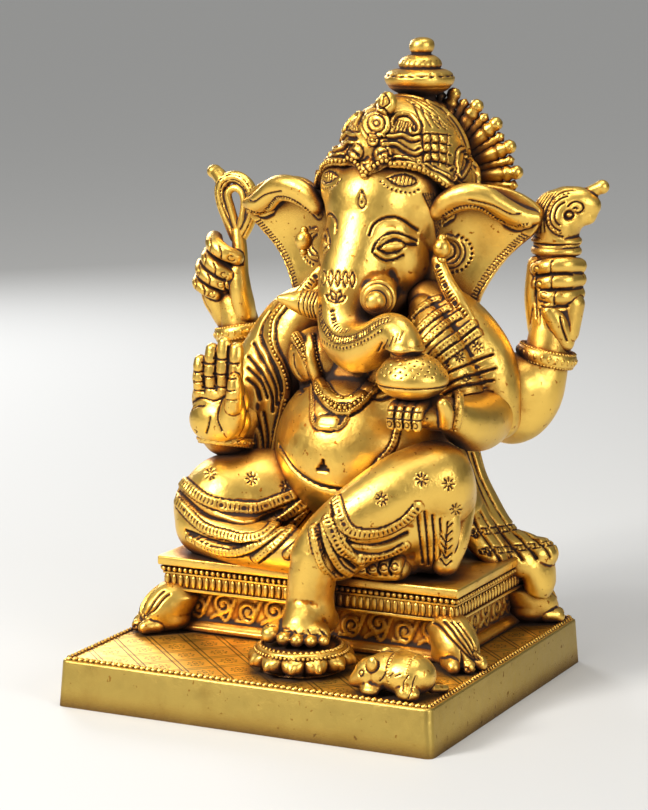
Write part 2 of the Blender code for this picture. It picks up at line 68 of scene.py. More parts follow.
def curveThrough(points, step=1.2):  # evenly spaced points on a smooth line, any number of columns
    p = np.array(points, float)
    ends = np.vstack([2 * p[0] - p[1], p, 2 * p[-1] - p[-2]])
    fine = []
    for a, b, c, d in zip(ends, ends[1:], ends[2:], ends[3:]):
        for t in np.linspace(0, 1, 12, endpoint=False):
            fine.append(0.5 * (2 * b + (c - a) * t + (2 * a - 5 * b + 4 * c - d) * t * t
                               + (3 * b - a - 3 * c + d) * t ** 3))
    fine = np.array(fine + [p[-1]])
    run = np.concatenate([[0], np.cumsum(np.linalg.norm(np.diff(fine[:, :3], axis=0), axis=1))])
    stops = np.linspace(0, run[-1], max(2, int(run[-1] / step) + 1))
    return np.stack([np.interp(stops, run, fine[:, i]) for i in range(p.shape[1])], axis=1)


def ball(centre, radii, turn=(0, 0, 0)):
    radii = radii if hasattr(radii, "__len__") else (radii,) * 3

    def add(bm):
        place = Matrix.Translation(centre) @ Euler([math.radians(a) for a in turn]).to_matrix().to_4x4()
        bmesh.ops.create_icosphere(bm, subdivisions=4, radius=1, matrix=place @ Matrix.Diagonal((*radii, 1)))
    return add


def limb(*stations, flat=1.0, up=(0, 0, 1)):  # x, y, z, radius; flat squeezes it along up
    def add(bm):
        line = curveThrough(stations, 0.9)
        squeeze = Matrix.Scale(flat, 4, Vector(up).normalized())
        skip = max(1, int(min(line[:, 3]) * 0.35))  # thick limbs need fewer balls
        for x, y, z, r in [*line[::skip], line[-1]]:
            bmesh.ops.create_icosphere(bm, subdivisions=3 if r > 4 else 2, radius=r,
                                       matrix=Matrix.Translation((x, y, z)) @ squeeze)
    return add


def flap(outline, thickness, towards=(0, 1, 0)):  # a closed outline given even thickness
    def add(bm):
        ring = curveThrough(list(outline) + [outline[0]], 1.5)[:-1]
        thicken(bm, ring, Vector(towards).normalized() * thickness)
    return add


def thicken(bm, ring, wall):  # a closed ring of points becomes a plate
    face = bm.faces.new([bm.verts.new(p) for p in ring])
    grown = bmesh.ops.extrude_face_region(bm, geom=[face], use_keep_orig=True)["geom"]
    bmesh.ops.translate(bm, vec=wall, verts=[v for v in grown if isinstance(v, bmesh.types.BMVert)])


def pointed(where, heading):  # carries a shape made along z to its place
    return Matrix.Translation(where) @ Vector(heading).to_track_quat("Z", "Y").to_matrix().to_4x4()


def lathe(bm, profile, steps, merge, axis=(0, 0)):  # (radius, height) pairs turned into a closed solid
    x, y = axis
    chain = [bm.verts.new((x + r, y, h)) for r, h in profile]
    edges = [bm.edges.new(pair) for pair in zip(chain, chain[1:])]
    bmesh.ops.spin(bm, geom=chain + edges, cent=(x, y, 0), axis=(0, 0, 1), angle=fullTurn, steps=steps,
                   use_merge=True)
    bmesh.ops.remove_doubles(bm, verts=bm.verts, dist=merge)
    bmesh.ops.holes_fill(bm, edges=[e for e in bm.edges if e.is_boundary])


def melt(piece, voxel, relax):
    melted = piece.modifiers.new("melt", "REMESH")
    melted.mode, melted.voxel_size = "VOXEL", voxel
    soften = piece.modifiers.new("soften", "SMOOTH")
    soften.factor, soften.iterations = 0.5, relax
    applyAll(piece)


def skin(name, shapes, voxel=0.6, relax=4, blend=0.0, details=()):  # melts shapes into one cast surface
    bm = bmesh.new()
    for shape in shapes:
        shape(bm)
    piece = newPiece(name, bm)
    if blend:  # a coarse pass first, so that neighbours flow into each other
        melt(piece, blend, 7)
        bm = bmesh.new()
        bm.from_mesh(piece.data)
        for shape in details:
            shape(bm)
        bm.to_mesh(piece.data)
        bm.free()
    melt(piece, voxel, relax)
    return piece


def readShape(piece):
    count = len(piece.data.vertices)
    co, normal = np.empty(count * 3, np.float32), np.empty(count * 3, np.float32)
    piece.data.vertices.foreach_get("co", co)
    piece.data.vertex_normals.foreach_get("vector", normal)
    return co.reshape(-1, 3), normal.reshape(-1, 3)


def writeShape(piece, co):
    piece.data.vertices.foreach_set("co", np.ascontiguousarray(co, np.float32).ravel())
    piece.data.update()


inks = {}  # how dark the cut lines of each piece have turned, one number for every vertex
boldness = {"wide": 1.25, "deep": 1.35, "fullInk": 0.75, "ribInk": 0.25}


def press(piece, lines, width, height, pitch=0.0, plateau=False):  # a line drawn into (or onto) the surface
    co, normal = readShape(piece)
    push = np.zeros(len(co), np.float32)
    if height < 0:
        width, height = width * boldness["wide"], height * boldness["deep"]
    reach = width * (1.3 if plateau else 1.8)
    for line in lines:
        line = np.asarray(line, np.float32)
        run = 0.0
        for start in range(0, len(line) - 1, 5):
            part = line[start:start + 6]
            near = np.nonzero(((co > part.min(0) - reach) & (co < part.max(0) + reach)).all(1))[0]
            best, along = np.full(len(near), 1e9, np.float32), np.zeros(len(near), np.float32)
            c = co[near]
            for a, b in zip(part, part[1:]):
                ab = b - a
                size = float(np.sqrt(ab @ ab)) + 1e-9
                t = np.clip((c - a) @ ab / size ** 2, 0, 1)
                away = np.linalg.norm(c - a - t[:, None] * ab, axis=1)
                along = np.where(away < best, run + t * size, along)
                best = np.minimum(best, away)
                run += size
            rise = 1 / (1 + (best / width) ** 8) if plateau else np.exp(-2.2 * (best / width) ** 2)
            if pitch:
                rise = rise * (0.5 + 0.5 * np.cos(fullTurn * along / pitch)) ** 1.5
            push[near] = np.maximum(push[near], rise)
    writeShape(piece, co + normal * (push * height)[:, None])
    if height < 0:
        dark = push * min(1.0, -height / boldness["fullInk"]) * (boldness["ribInk"] if pitch else 1.0)
        inks[piece.name] = np.maximum(inks[piece.name], dark) if piece.name in inks else dark


trees = {}


def treeOf(piece):
    if piece.name not in trees:
        bm = bmesh.new()
        bm.from_mesh(piece.data)
        trees[piece.name] = BVHTree.FromBMesh(bm)
        bm.free()
    return trees[piece.name]


def lay(piece, points, step=1.2, towards=ahead, reach=16, curved=True):  # drops a line onto the surface
    tree, spots, normals = treeOf(piece), [], []
    line = curveThrough(points, step) if curved else np.array(points, float)
    for p in line:
        p = Vector(p[:3])
        spot = None
        if towards is not None:
            spot, normal = tree.ray_cast(p - towards * reach, towards, reach * 3)[:2]
        if spot is None:
            spot, normal = tree.find_nearest(p)[:2]
        spots.append(spot)
        normals.append(normal)
    return np.array(spots), np.array(normals)


def shifted(trail, offset, lift=0.0):  # the same trail, moved sideways along the surface
    spots, normals = trail
    heading = np.gradient(spots, axis=0)
    heading /= np.linalg.norm(heading, axis=1)[:, None] + 1e-9
    side = np.cross(normals, heading)
    return spots + side * offset + normals * lift


def between(first, last, count, step=1.5):  # lines that change evenly from one into the other
    a, b = curveThrough(first, step), curveThrough(last, step)
    n = max(len(a), len(b))
    grid = np.linspace(0, 1, n)
    even = [np.stack([np.interp(grid, np.linspace(0, 1, len(q)), q[:, i]) for i in range(3)], 1)
            for q in (a, b)]
    return [even[0] * (1 - t) + even[1] * t for t in np.linspace(0, 1, count)]


def circleLine(centre, radius, first=0, last=360, count=24, squash=1.0):  # an upright arc, angles in degrees
    x, y, z = centre
    return [(x + radius * math.cos(a), y, z + radius * squash * math.sin(a))
            for a in np.radians(np.linspace(first, last, count))]


def levelRing(centre, radii, count):  # a closed ring that lies level
    x, y, z = centre
    return [(x + radii[0] * math.cos(a), y + radii[1] * math.sin(a), z)
            for a in np.linspace(0, fullTurn, count)]


def curl(centre, radius, turns=1.6, first=0, way=1, count=22, towards="y"):  # a scroll that winds inwards
    x, y, z = centre
    out = []
    for t in np.linspace(0, 1, count):
        a = math.radians(first) + way * t * turns * fullTurn
        r = radius * (1 - t) ** 0.8 + 0.15
        u, v = r * math.cos(a), r * math.sin(a)
        out.append((x + u, y, z + v) if towards == "y" else (x, y + u, z + v))
    return out


beadSpots = []
beadSwell = 1.06  # a ball of few faces looks smaller than its radius


def beads(spots, normals, radius, gap=None, lift=0.35):  # evenly spaced balls, kept for one mesh of beads
    line = np.asarray(spots, float)
    run = np.concatenate([[0], np.cumsum(np.linalg.norm(np.diff(line, axis=0), axis=1))])
    stops = np.linspace(0, run[-1], max(2, int(round(run[-1] / (gap or radius * 2.1))) + 1))
    normal = np.asarray(normals, float)
    for s in stops:
        p = [np.interp(s, run, line[:, i]) for i in range(3)]
        n = [np.interp(s, run, normal[:, i]) for i in range(3)]
        beadSpots.append((Vector(p) + Vector(n) * radius * lift, radius))


def flushBeads(name):  # every bead collected so far becomes one piece
    bm = bmesh.new()
    for spot, radius in beadSpots:
        bmesh.ops.create_icosphere(bm, subdivisions=1, radius=radius * beadSwell,
                                   matrix=Matrix.Translation(spot))
    beadSpots.clear()
    return newPiece(name, bm)


patinaRule = {"start": 0.30, "fine": 0.34, "broad": 0.70, "ink": 0.72, "inkCurve": 1.2}


def patinate(piece, fine=3, broad=14, strength=1.0):  # keeps where dirt settles (1) and what hands polish (0)
    mesh = piece.data
    co, normal = readShape(piece)
    edges = np.empty(len(mesh.edges) * 2, np.int32)
    mesh.edges.foreach_get("vertices", edges)
    a, b = edges.reshape(-1, 2).T
    count = np.bincount(a, minlength=len(co)) + np.bincount(b, minlength=len(co))
    count = np.maximum(count, 1)[:, None]
    soft, levels = co.astype(np.float64), {}
    for i in range(1, broad + 1):
        total = np.stack([np.bincount(a, soft[b, k], len(co)) + np.bincount(b, soft[a, k], len(co))
                          for k in range(3)], 1)
        soft = 0.35 * soft + 0.65 * total / count
        if i in (fine, broad):
            levels[i] = ((soft - co) * normal).sum(1)
    size = float(np.sqrt(np.mean(np.sum((co[a] - co[b]) ** 2, 1))))
    p = patinaRule
    small, large = levels[fine] / (0.16 * size), levels[broad] / (0.5 * size)  # in edge lengths
    value = p["start"] + strength * (small * p["fine"] + large * p["broad"])
    if piece.name in inks:
        value += p["ink"] * inks[piece.name] ** p["inkCurve"]
    layer = mesh.attributes.new("patina", "FLOAT", "POINT")
    layer.data.foreach_set("value", np.clip(value, 0, 1).astype(np.float32))


def finish(piece, *nodes, material="agedShadedBrass", slot="idol_brass", dirt=1.0, smooth=True):
    if dirt:
        patinate(piece, strength=dirt)
    piece.data.transform(Matrix.Scale(mm, 4))
    piece.data.materials.clear()
    piece.data.materials.append(materials[material])
    piece.data.shade_smooth() if smooth else piece.data.set_sharp_from_angle(angle=math.radians(32))
    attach(piece, "root")
    if nodes:
        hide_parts(*nodes)
    return piece


def link(tree, source, target):
    tree.links.new(source, target)


def addNode(tree, kind, **values):
    node = tree.nodes.new(kind)
    for key, value in values.items():
        if key in node.bl_rna.properties:
            setattr(node, key, value)
        else:
            node.inputs[key.replace("_", " ")].default_value = value
    return node


def maths(tree, operation, a, b=None, clamp=False):
    node = tree.nodes.new("ShaderNodeMath")
    node.operation, node.use_clamp = operation, clamp
    for socket, value in zip(node.inputs, (a, b)):
        if value is None:
            continue
        if isinstance(value, (int, float)):
            socket.default_value = value
        else:
            tree.links.new(value, socket)
    return node.outputs[0]


def mixed(tree, share, a, b):
    node = tree.nodes.new("ShaderNodeMix")
    node.data_type = "RGBA"
    for socket, value in ((node.inputs[0], share), (node.inputs[6], a), (node.inputs[7], b)):
        if isinstance(value, bpy.types.NodeSocket):
            tree.links.new(value, socket)
        else:
            socket.default_value = value if isinstance(value, float) else (*value, 1)
    return node.outputs[2]


def stretched(tree, value, low, high):  # low..high becomes 0..1
    node = tree.nodes.new("ShaderNodeMapRange")
    node.interpolation_type = "SMOOTHSTEP"
    node.inputs["From Min"].default_value, node.inputs["From Max"].default_value = low, high
    tree.links.new(value, node.inputs["Value"])
    return node.outputs["Result"]


ageingAndShade = {"cloud": (55.0, 5.0, 0.6), "speck": (900.0, 3.0, 0.65), "hair": (260.0, 4.0, 0.7),
          # scale, detail, roughness
          "dent": (95.0, 2.0, 0.5), "pit": (420.0, 2.0, 0.5), "shadeReach": 0.0110, "drift": 0.60,
          "creaseShadeAndPatina": 0.95, "pits": 0.30, "hollows": 0.25, "roughened": 0.42, "streaks": 0.22, "rubbed": 0.05,
          "dulled": 0.80, "bump": 0.00040}


def makeBrassAgeAndShade():  # shared ageing and painted crease shade: colour, roughness, metal and grain for cast and polished brass
    group = bpy.data.node_groups.new("brassAgeAndShade", "ShaderNodeTree")
    face = group.interface
    for name, kind, value in (("Polished", "Color", (0.86, 0.60, 0.16, 1)),
                              ("TarnishAndShade", "Color", (0.36, 0.17, 0.03, 1)),
                              ("GrimeAndShade", "Color", (0.018, 0.010, 0.006, 1)), ("DirtAndShade", "Float", 1.0),
                              ("Gloss", "Float", 0.22), ("Grain", "Float", 0.3)):
        socket = face.new_socket(name, in_out="INPUT", socket_type="NodeSocket" + kind)
        socket.default_value = value
    for name, kind in (("Color", "Color"), ("Roughness", "Float"), ("Metallic", "Float"),
                       ("Normal", "Vector")):
        face.new_socket(name, in_out="OUTPUT", socket_type="NodeSocket" + kind)
    given = group.nodes.new("NodeGroupInput").outputs
    out = group.nodes.new("NodeGroupOutput").inputs
    place = group.nodes.new("ShaderNodeTexCoord").outputs["Object"]

    def plus(a, b, clamp=False):
        return maths(group, "ADD", a, b, clamp)

    def minus(a, b, clamp=False):
        return maths(group, "SUBTRACT", a, b, clamp)

    def times(a, b, clamp=False):
        return maths(group, "MULTIPLY", a, b, clamp)

    def cloudy(name):
        scale, detail, roughness = ageingAndShade[name]
        texture = addNode(group, "ShaderNodeTexNoise", Scale=scale, Detail=detail, Roughness=roughness)
        link(group, place, texture.inputs["Vector"])
        return texture.outputs["Fac"]
    cloud, speck, hair, dent, pit = [cloudy(name) for name in ("cloud", "speck", "hair", "dent", "pit")]
    kept = addNode(group, "ShaderNodeAttribute", attribute_name="patina").outputs["Fac"]
    # painted shade: the ambient occlusion darkens the colour in creases and where pieces touch, standing for
    # crevice patina and for shade together
    shade = addNode(group, "ShaderNodeAmbientOcclusion", samples=6, Distance=ageingAndShade["shadeReach"])
    creaseShadeAndPatina = stretched(group, minus(1.0, shade.outputs["AO"]), 0.08, 0.72)
    point = group.nodes.new("ShaderNodeNewGeometry").outputs["Pointiness"]
    hollow = stretched(group, minus(1.0, point), 0.515, 0.60)
    rubbed = stretched(group, point, 0.52, 0.58)
    drift = times(minus(cloud, 0.5), ageingAndShade["drift"])
    # dirt that settles in hollows and pits, with the painted crease shade added in
    dirtAndCreaseShade = plus(stretched(group, kept, 0.34, 0.95), times(creaseShadeAndPatina, ageingAndShade["creaseShadeAndPatina"]))
    dirtAndCreaseShade = plus(dirtAndCreaseShade, times(stretched(group, pit, 0.66, 0.74), ageingAndShade["pits"]))
    dirtAndCreaseShade = plus(dirtAndCreaseShade, times(hollow, ageingAndShade["hollows"]))
    dirtAndCreaseShade = times(plus(dirtAndCreaseShade, times(drift, dirtAndCreaseShade)), given["DirtAndShade"], clamp=True)
    # tarnish, then near-black grime, goes where dirt settles and where the painted crease shade falls
    tone = mixed(group, stretched(group, plus(dirtAndCreaseShade, drift), -0.02, 0.36), given["Polished"],
                 given["TarnishAndShade"])
    tone = mixed(group, stretched(group, dirtAndCreaseShade, 0.40, 1.0), tone, given["GrimeAndShade"])
    link(group, tone, out["Color"])
    rough = plus(given["Gloss"], times(dirtAndCreaseShade, ageingAndShade["roughened"]))
    rough = plus(rough, times(minus(hair, 0.5), ageingAndShade["streaks"]))
    link(group, minus(rough, times(rubbed, ageingAndShade["rubbed"]), clamp=True), out["Roughness"])
    link(group, minus(1.0, times(stretched(group, dirtAndCreaseShade, 0.45, 0.95), ageingAndShade["dulled"])), out["Metallic"])
    relief = plus(plus(times(speck, 0.25), times(hair, 0.60)), times(dent, 1.3))
    bump = addNode(group, "ShaderNodeBump", Distance=ageingAndShade["bump"])
    link(group, relief, bump.inputs["Height"])
    link(group, given["Grain"], bump.inputs["Strength"])
    link(group, bump.outputs["Normal"], out["Normal"])
    return group


def brassMaterial(name, polished, tarnish, grime, dirt, gloss, grain):
    made = bpy.data.materials.new(name)
    made.use_nodes = True
    tree = made.node_tree
    shader = tree.nodes["Principled BSDF"]
    ageAndShade = tree.nodes.new("ShaderNodeGroup")
    ageAndShade.node_tree = brassAgeAndShade
    # dirt scales the settled patina together with the painted crease shade
    for key, value in (("Polished", (*polished, 1)), ("TarnishAndShade", (*tarnish, 1)), ("GrimeAndShade", (*grime, 1)),
                       ("DirtAndShade", dirt), ("Gloss", gloss), ("Grain", grain)):
        ageAndShade.inputs[key].default_value = value
    for socket, target in (("Color", "Base Color"), ("Roughness", "Roughness"), ("Metallic", "Metallic"),
                           ("Normal", "Normal")):
        link(tree, ageAndShade.outputs[socket], shader.inputs[target])
    return made


lattice = {"cell": 0.0190, "depth": 0.0006,  # metres; the rest are shares of a cell
           "lineAway": 0.07, "line": 0.022, "petals": 4.0, "petalSwing": 0.12, "flower": 0.12, "heart": 0.05,
           "heartLine": 0.018, "stain": 0.85, "stainTone": (0.06, 0.03, 0.01)}  # engraving of the plinth's top


def engraveLattice(material):  # double diagonal lines with a flower in each diamond
    p = lattice
    tree = material.node_tree
    shader, ageAndShade = tree.nodes["Principled BSDF"], [n for n in tree.nodes if n.type == "GROUP"][0]

    def do(operation, a, b=None):
        return maths(tree, operation, a, b)

    def ringAt(away, where, half):  # 1 within half of where, 0 elsewhere
        return do("LESS_THAN", do("ABSOLUTE", do("SUBTRACT", away, where)), half)
    split = tree.nodes.new("ShaderNodeSeparateXYZ")
    link(tree, tree.nodes.new("ShaderNodeTexCoord").outputs["Object"], split.inputs[0])
    x, y = split.outputs["X"], split.outputs["Y"]
    u, v = [do("SUBTRACT", do("FRACT", do("DIVIDE", do(way, x, y), p["cell"])), 0.5)
            for way in ("ADD", "SUBTRACT")]
    lines = [ringAt(do("SUBTRACT", 0.5, do("ABSOLUTE", cell)), p["lineAway"], p["line"]) for cell in (u, v)]
    far = do("SQRT", do("ADD", do("MULTIPLY", u, u), do("MULTIPLY", v, v)))
    swing = do("ABSOLUTE", do("COSINE", do("MULTIPLY", do("ARCTAN2", v, u), p["petals"])))
    petal = do("ADD", do("MULTIPLY", swing, p["petalSwing"]), p["flower"])
    flower = ringAt(far, petal, p["line"])
    heart = ringAt(far, p["heart"], p["heartLine"])
    cut = do("MAXIMUM", do("MAXIMUM", *lines), do("MAXIMUM", flower, heart))
    top = tree.nodes.new("ShaderNodeSeparateXYZ")
    link(tree, tree.nodes.new("ShaderNodeNewGeometry").outputs["Normal"], top.inputs[0])
    cut = do("MULTIPLY", cut, do("GREATER_THAN", top.outputs["Z"], 0.95))
    bump = addNode(tree, "ShaderNodeBump", Distance=p["depth"], Strength=1.0, invert=True)
    link(tree, cut, bump.inputs["Height"])
    link(tree, ageAndShade.outputs["Normal"], bump.inputs["Normal"])
    link(tree, bump.outputs["Normal"], shader.inputs["Normal"])
    tone = mixed(tree, do("MULTIPLY", cut, p["stain"]), ageAndShade.outputs["Color"], p["stainTone"])
    link(tree, tone, shader.inputs["Base Color"])


brassAgeAndShade = makeBrassAgeAndShade()
goldTone, brownTone, darkTone = (0.93, 0.600, 0.125), (0.43, 0.145, 0.014), (0.024, 0.009, 0.004)
materials = {
    "agedShadedBrass": brassMaterial("agedShadedBrass", goldTone, brownTone, darkTone, 1.1, 0.36, 0.75),
    "plinthBrass": brassMaterial("plinthBrass", (0.56, 0.39, 0.095), (0.32, 0.17, 0.030), darkTone, 1.3, 0.46,
                                 0.7),
    "plinthTop": brassMaterial("plinthTop", (0.92, 0.56, 0.10), (0.52, 0.23, 0.03), darkTone, 1.0, 0.42, 0.6),
    "boltSteel": brassMaterial("boltSteel", (0.55, 0.55, 0.56), (0.35, 0.34, 0.33), (0.05, 0.05, 0.05), 0.8,
                               0.36, 0.5),
}
engraveLattice(materials["plinthTop"])
print("finishes ready")


roomTones = {"low": (0.07, 0.07, 0.075), "high": (0.55, 0.55, 0.54), "strength": 0.50,
             "paper": (0.60, 0.60, 0.59, 1)}


def buildRoom():
    world = bpy.data.worlds.new("studio")
    scene.world = world
    world.use_nodes = True
    tree = world.node_tree
    back = tree.nodes["Background"]
    split = tree.nodes.new("ShaderNodeSeparateXYZ")
    link(tree, tree.nodes.new("ShaderNodeTexCoord").outputs["Generated"], split.inputs[0])
    height = stretched(tree, split.outputs["Z"], -0.15, 0.75)
    link(tree, mixed(tree, height, roomTones["low"], roomTones["high"]), back.inputs["Color"])
    back.inputs["Strength"].default_value = roomTones["strength"]
    scene.view_settings.view_transform = "Standard"
    bm = bmesh.new()
    bmesh.ops.create_grid(bm, x_segments=1, y_segments=1, size=20.0)
    floor = newPiece("floor", bm)
    paper = bpy.data.materials.new("palePaper")
    paper.use_nodes = True
    shader = paper.node_tree.nodes["Principled BSDF"]
    shader.inputs["Base Color"].default_value = roomTones["paper"]
    shader.inputs["Roughness"].default_value = 0.7
    floor.data.materials.append(paper)


lamps = {  # where, size, watts, tint
    "keyLamp": ((-0.55, -0.95, 0.85), 0.34, 15, (1.0, 0.97, 0.92)),
    "fillLamp": ((1.05, -0.45, 0.50), 0.45, 5, (0.97, 0.98, 1.0)),
    "topLamp": ((0.10, 0.05, 1.20), 0.45, 4.5, (1.0, 0.98, 0.95)),
    "rimLamp": ((-0.85, 0.75, 0.55), 0.40, 5, (0.97, 0.98, 1.0)),
}


aim = Vector((0, 0, 0.12))  # what the lamps point at
skyLight = {"strength": 1.1, "spread": 35, "turn": (38, -22, 0)}  # evens out the floor


def buildLamps():
    for name, (where, size, watts, tint) in lamps.items():
        light = bpy.data.lights.new(name, "AREA")
        light.shape, light.size, light.energy, light.color = "SQUARE", size, watts, tint
        lamp = bpy.data.objects.new(name, light)
        lamp.location = where
        lamp.rotation_euler = (aim - Vector(where)).to_track_quat("-Z", "Y").to_euler()
        scene.collection.objects.link(lamp)
    sky = bpy.data.lights.new("skyLight", "SUN")
    sky.energy, sky.angle = skyLight["strength"], math.radians(skyLight["spread"])
    lamp = bpy.data.objects.new("skyLight", sky)
    lamp.rotation_euler = [math.radians(a) for a in skyLight["turn"]]
    scene.collection.objects.link(lamp)


cameraView = {"lens": 120.7, "sensor": 36.0, "stand": (0.4643, -0.9493, 0.2999),
              "target": (-0.0009, -0.0004, 0.1134)}


def buildCamera():
    p = cameraView
    lens = bpy.data.cameras.new("camera")
    lens.lens, lens.sensor_width = p["lens"], p["sensor"]
    camera = bpy.data.objects.new("camera", lens)
    camera.location = p["stand"]
    camera.rotation_euler = (Vector(p["target"]) - camera.location).to_track_quat("-Z", "Y").to_euler()
    scene.collection.objects.link(camera)
    scene.camera = camera


buildRoom()
buildLamps()
buildCamera()


plinthSizes = {"half": (80.0, 76.0), "height": 18.5, "draft": 1.2, "wall": 5.0, "corner": 3.0, "edge": 1.0,
               "ropePitch": 2.5, "ropeFromEdge": 2.0, "strand": (1.75, 0.95, 1.25), "strandTurn": 35}


def boxBetween(bm, low, high, topInset=0.0):
    size, middle = [h - l for l, h in zip(low, high)], [(h + l) / 2 for l, h in zip(low, high)]
    made = bmesh.ops.create_cube(bm, size=1,
                                 matrix=Matrix.Translation(middle) @ Matrix.Diagonal((*size, 1)))["verts"]
    for v in made:
        if topInset and v.co.z > middle[2]:
            v.co.x -= math.copysign(topInset, v.co.x - middle[0])
            v.co.y -= math.copysign(topInset, v.co.y - middle[1])
    return made


def buildPlinth():
    p = plinthSizes
    wide, deep = p["half"]
    bm = bmesh.new()
    boxBetween(bm, (-wide, -deep, 0), (wide, deep, p["height"]), p["draft"])
    upright = [e for e in bm.edges if abs(e.verts[0].co.z - e.verts[1].co.z) > 10]
    bmesh.ops.bevel(bm, geom=upright, offset=p["corner"], segments=5, profile=0.5, affect="EDGES", material=-1)
    top = [e for e in bm.edges if min(v.co.z for v in e.verts) > p["height"] - 0.01
           and any(abs(f.normal.z) < 0.5 for f in e.link_faces)]
    bmesh.ops.bevel(bm, geom=top, offset=p["edge"], segments=3, profile=0.5, affect="EDGES", material=-1)
    under = [f for f in bm.faces if f.normal.z < -0.9]
    bmesh.ops.inset_region(bm, faces=under, thickness=p["wall"])
    grown = bmesh.ops.extrude_face_region(bm, geom=under)["geom"]
    raised = [v for v in grown if isinstance(v, bmesh.types.BMVert)]
    bmesh.ops.delete(bm, geom=under, context="FACES")
    bmesh.ops.translate(bm, vec=(0, 0, p["height"] - p["wall"]), verts=raised)
    block = newPiece("plinthBlock", bm)
    finish(block, "plinth", material="plinthBrass", slot="plinth_brass", dirt=0, smooth=False)
    block.data.materials.append(materials["plinthTop"])
    for face in block.data.polygons:
        if face.normal.z > 0.95 and face.center.z > 0.018:
            face.material_index = 1

    rimX, rimY = [half - p["draft"] - p["ropeFromEdge"] for half in p["half"]]
    z = p["height"] + 0.15
    corners = [(-rimX, -rimY, z), (rimX, -rimY, z), (rimX, rimY, z), (-rimX, rimY, z)]
    bm = bmesh.new()
    for a, b in zip(corners, corners[1:] + corners[:1]):
        a, b = Vector(a), Vector(b)
        count = int((b - a).length / p["ropePitch"])
        turn = math.atan2(b.y - a.y, b.x - a.x) + math.radians(p["strandTurn"])  # each strand lies aslant
        for i in range(count):
            place = Matrix.Translation(a.lerp(b, (i + 0.5) / count)) @ Matrix.Rotation(turn, 4, "Z")
            bmesh.ops.create_icosphere(bm, subdivisions=1, radius=1,
                                       matrix=place @ Matrix.Diagonal((*p["strand"], 1)))
    finish(newPiece("plinthRope", bm), dirt=0)
    print("plinth done")


throneSizes = {"half": 66.0, "front": -20.5, "back": 64.0, "bottom": 36.0, "top": 50.0, "inset": 8.5,
               "fluteGap": 3.0, "flute": (0.85, 1.12, 2.75), "beadGap": 2.5, "beadRadius": 1.15,
               "scrollGap": 11.0, "scrollRadius": 4.1, "apronVoxel": 0.8}


def aroundBlock(half, front, back, z, gap):  # points and outward directions round a block's four sides
    corners = [Vector((-half, front, z)), Vector((half, front, z)), Vector((half, back, z)),
               Vector((-half, back, z))]
    for a, b in zip(corners, corners[1:] + corners[:1]):
        count = max(1, round((b - a).length / gap))
        out = Vector(((b - a).y, -(b - a).x, 0)).normalized()
        for i in range(count):
            yield a.lerp(b, (i + 0.5) / count), out


def buildThrone():
    p = throneSizes
    half, front, back, low, top = p["half"], p["front"], p["back"], p["bottom"], p["top"]
    bm = bmesh.new()
    boxBetween(bm, (-half, front, top - 3.8), (half, back, top))
    bmesh.ops.bevel(bm, geom=bm.edges[:], offset=0.8, segments=3, profile=0.5, affect="EDGES", material=-1)
    for inset, z0, z1 in ((2.4, low + 0.4, top - 3), (1.4, low, low + 1.2), (1.6, low + 6.6, low + 7.6)):
        verts = boxBetween(bm, (-half + inset, front + inset, z0), (half - inset, back - inset, z1))
        edges = list({e for v in verts for e in v.link_edges})
        bmesh.ops.bevel(bm, geom=edges, offset=0.35, segments=2, profile=0.5, affect="EDGES", material=-1)
    for spot, out in aroundBlock(half - 2.2, front + 2.2, back - 2.2, low + 3.9, p["fluteGap"]):
        turn = Matrix.Rotation(math.atan2(out.y, out.x), 4, "Z")
        shape = Matrix.Diagonal((*p["flute"], 1))
        bmesh.ops.create_icosphere(bm, subdivisions=2, radius=1,
                                   matrix=Matrix.Translation(spot) @ turn @ shape)
    finish(newPiece("throneSeatTop", bm), "throne_seat", dirt=0, smooth=False)
    for spot, out in aroundBlock(half - 1.3, front + 1.3, back - 1.3, top - 5.2, p["beadGap"]):
        beadSpots.append((spot, p["beadRadius"]))
    finish(flushBeads("throneBeads"), dirt=0)

    inset = p["inset"]
    a = half - inset
    y0, y1 = front + inset, back - inset

    def block(low, high):
        return lambda bm: boxBetween(bm, low, high)
    apron = skin("throneApron", [
        block((-a, y0, 19), (a, y1, 35.6)), block((-a - 4, y0 - 4, 18.9), (a + 4, y1 + 4, 21.3)),
        block((-a - 2.2, y0 - 2.2, 21), (a + 2.2, y1 + 2.2, 22.8))], p["apronVoxel"], 2)
    scrolls, stems = [], []
    for side, (start, end, face) in enumerate(((-a, a, y0), (-a, a, y1), (y0, y1, -a), (y0, y1, a))):
        towards = "y" if side < 2 else "x"
        count = round((end - start) / p["scrollGap"])
        for i in range(count):
            c = start + (end - start) * (i + 0.5) / count
            way = 1 if i % 2 else -1
            high = 29.6 + 0.9 * way
            spot = (c, face, high) if towards == "y" else (face, c, high)
            scrolls.append(curl(spot, p["scrollRadius"], 1.5, 90 * way, way, 20, towards))
            reach = [(c - 5.5, 24.6), (c - 2, 25.4 + way), (c + 1.5, 24.6 - way * 0.5), (c + 5.5, 34.0)]
            stems.append([(u, face, v) if towards == "y" else (face, u, v) for u, v in reach])
    press(apron, [curveThrough(s, 0.8) for s in scrolls], 0.95, 0.95)
    press(apron, [curveThrough(s, 0.8) for s in stems], 0.8, 0.7)
    finish(apron, "throne_apron", dirt=0.45)

    for side, end, name in ((-1, -1, "front_right"), (1, -1, "front_left"), (-1, 1, "back_right"),
                            (1, 1, "back_left")):
        buildPaw(name, side, end)
    print("throne done")


pawSizes = {"fromCorner": 5, "toes": (-5.4, 0, 5.4), "clawGaps": (-2.7, 2.7), "voxel": 0.5}


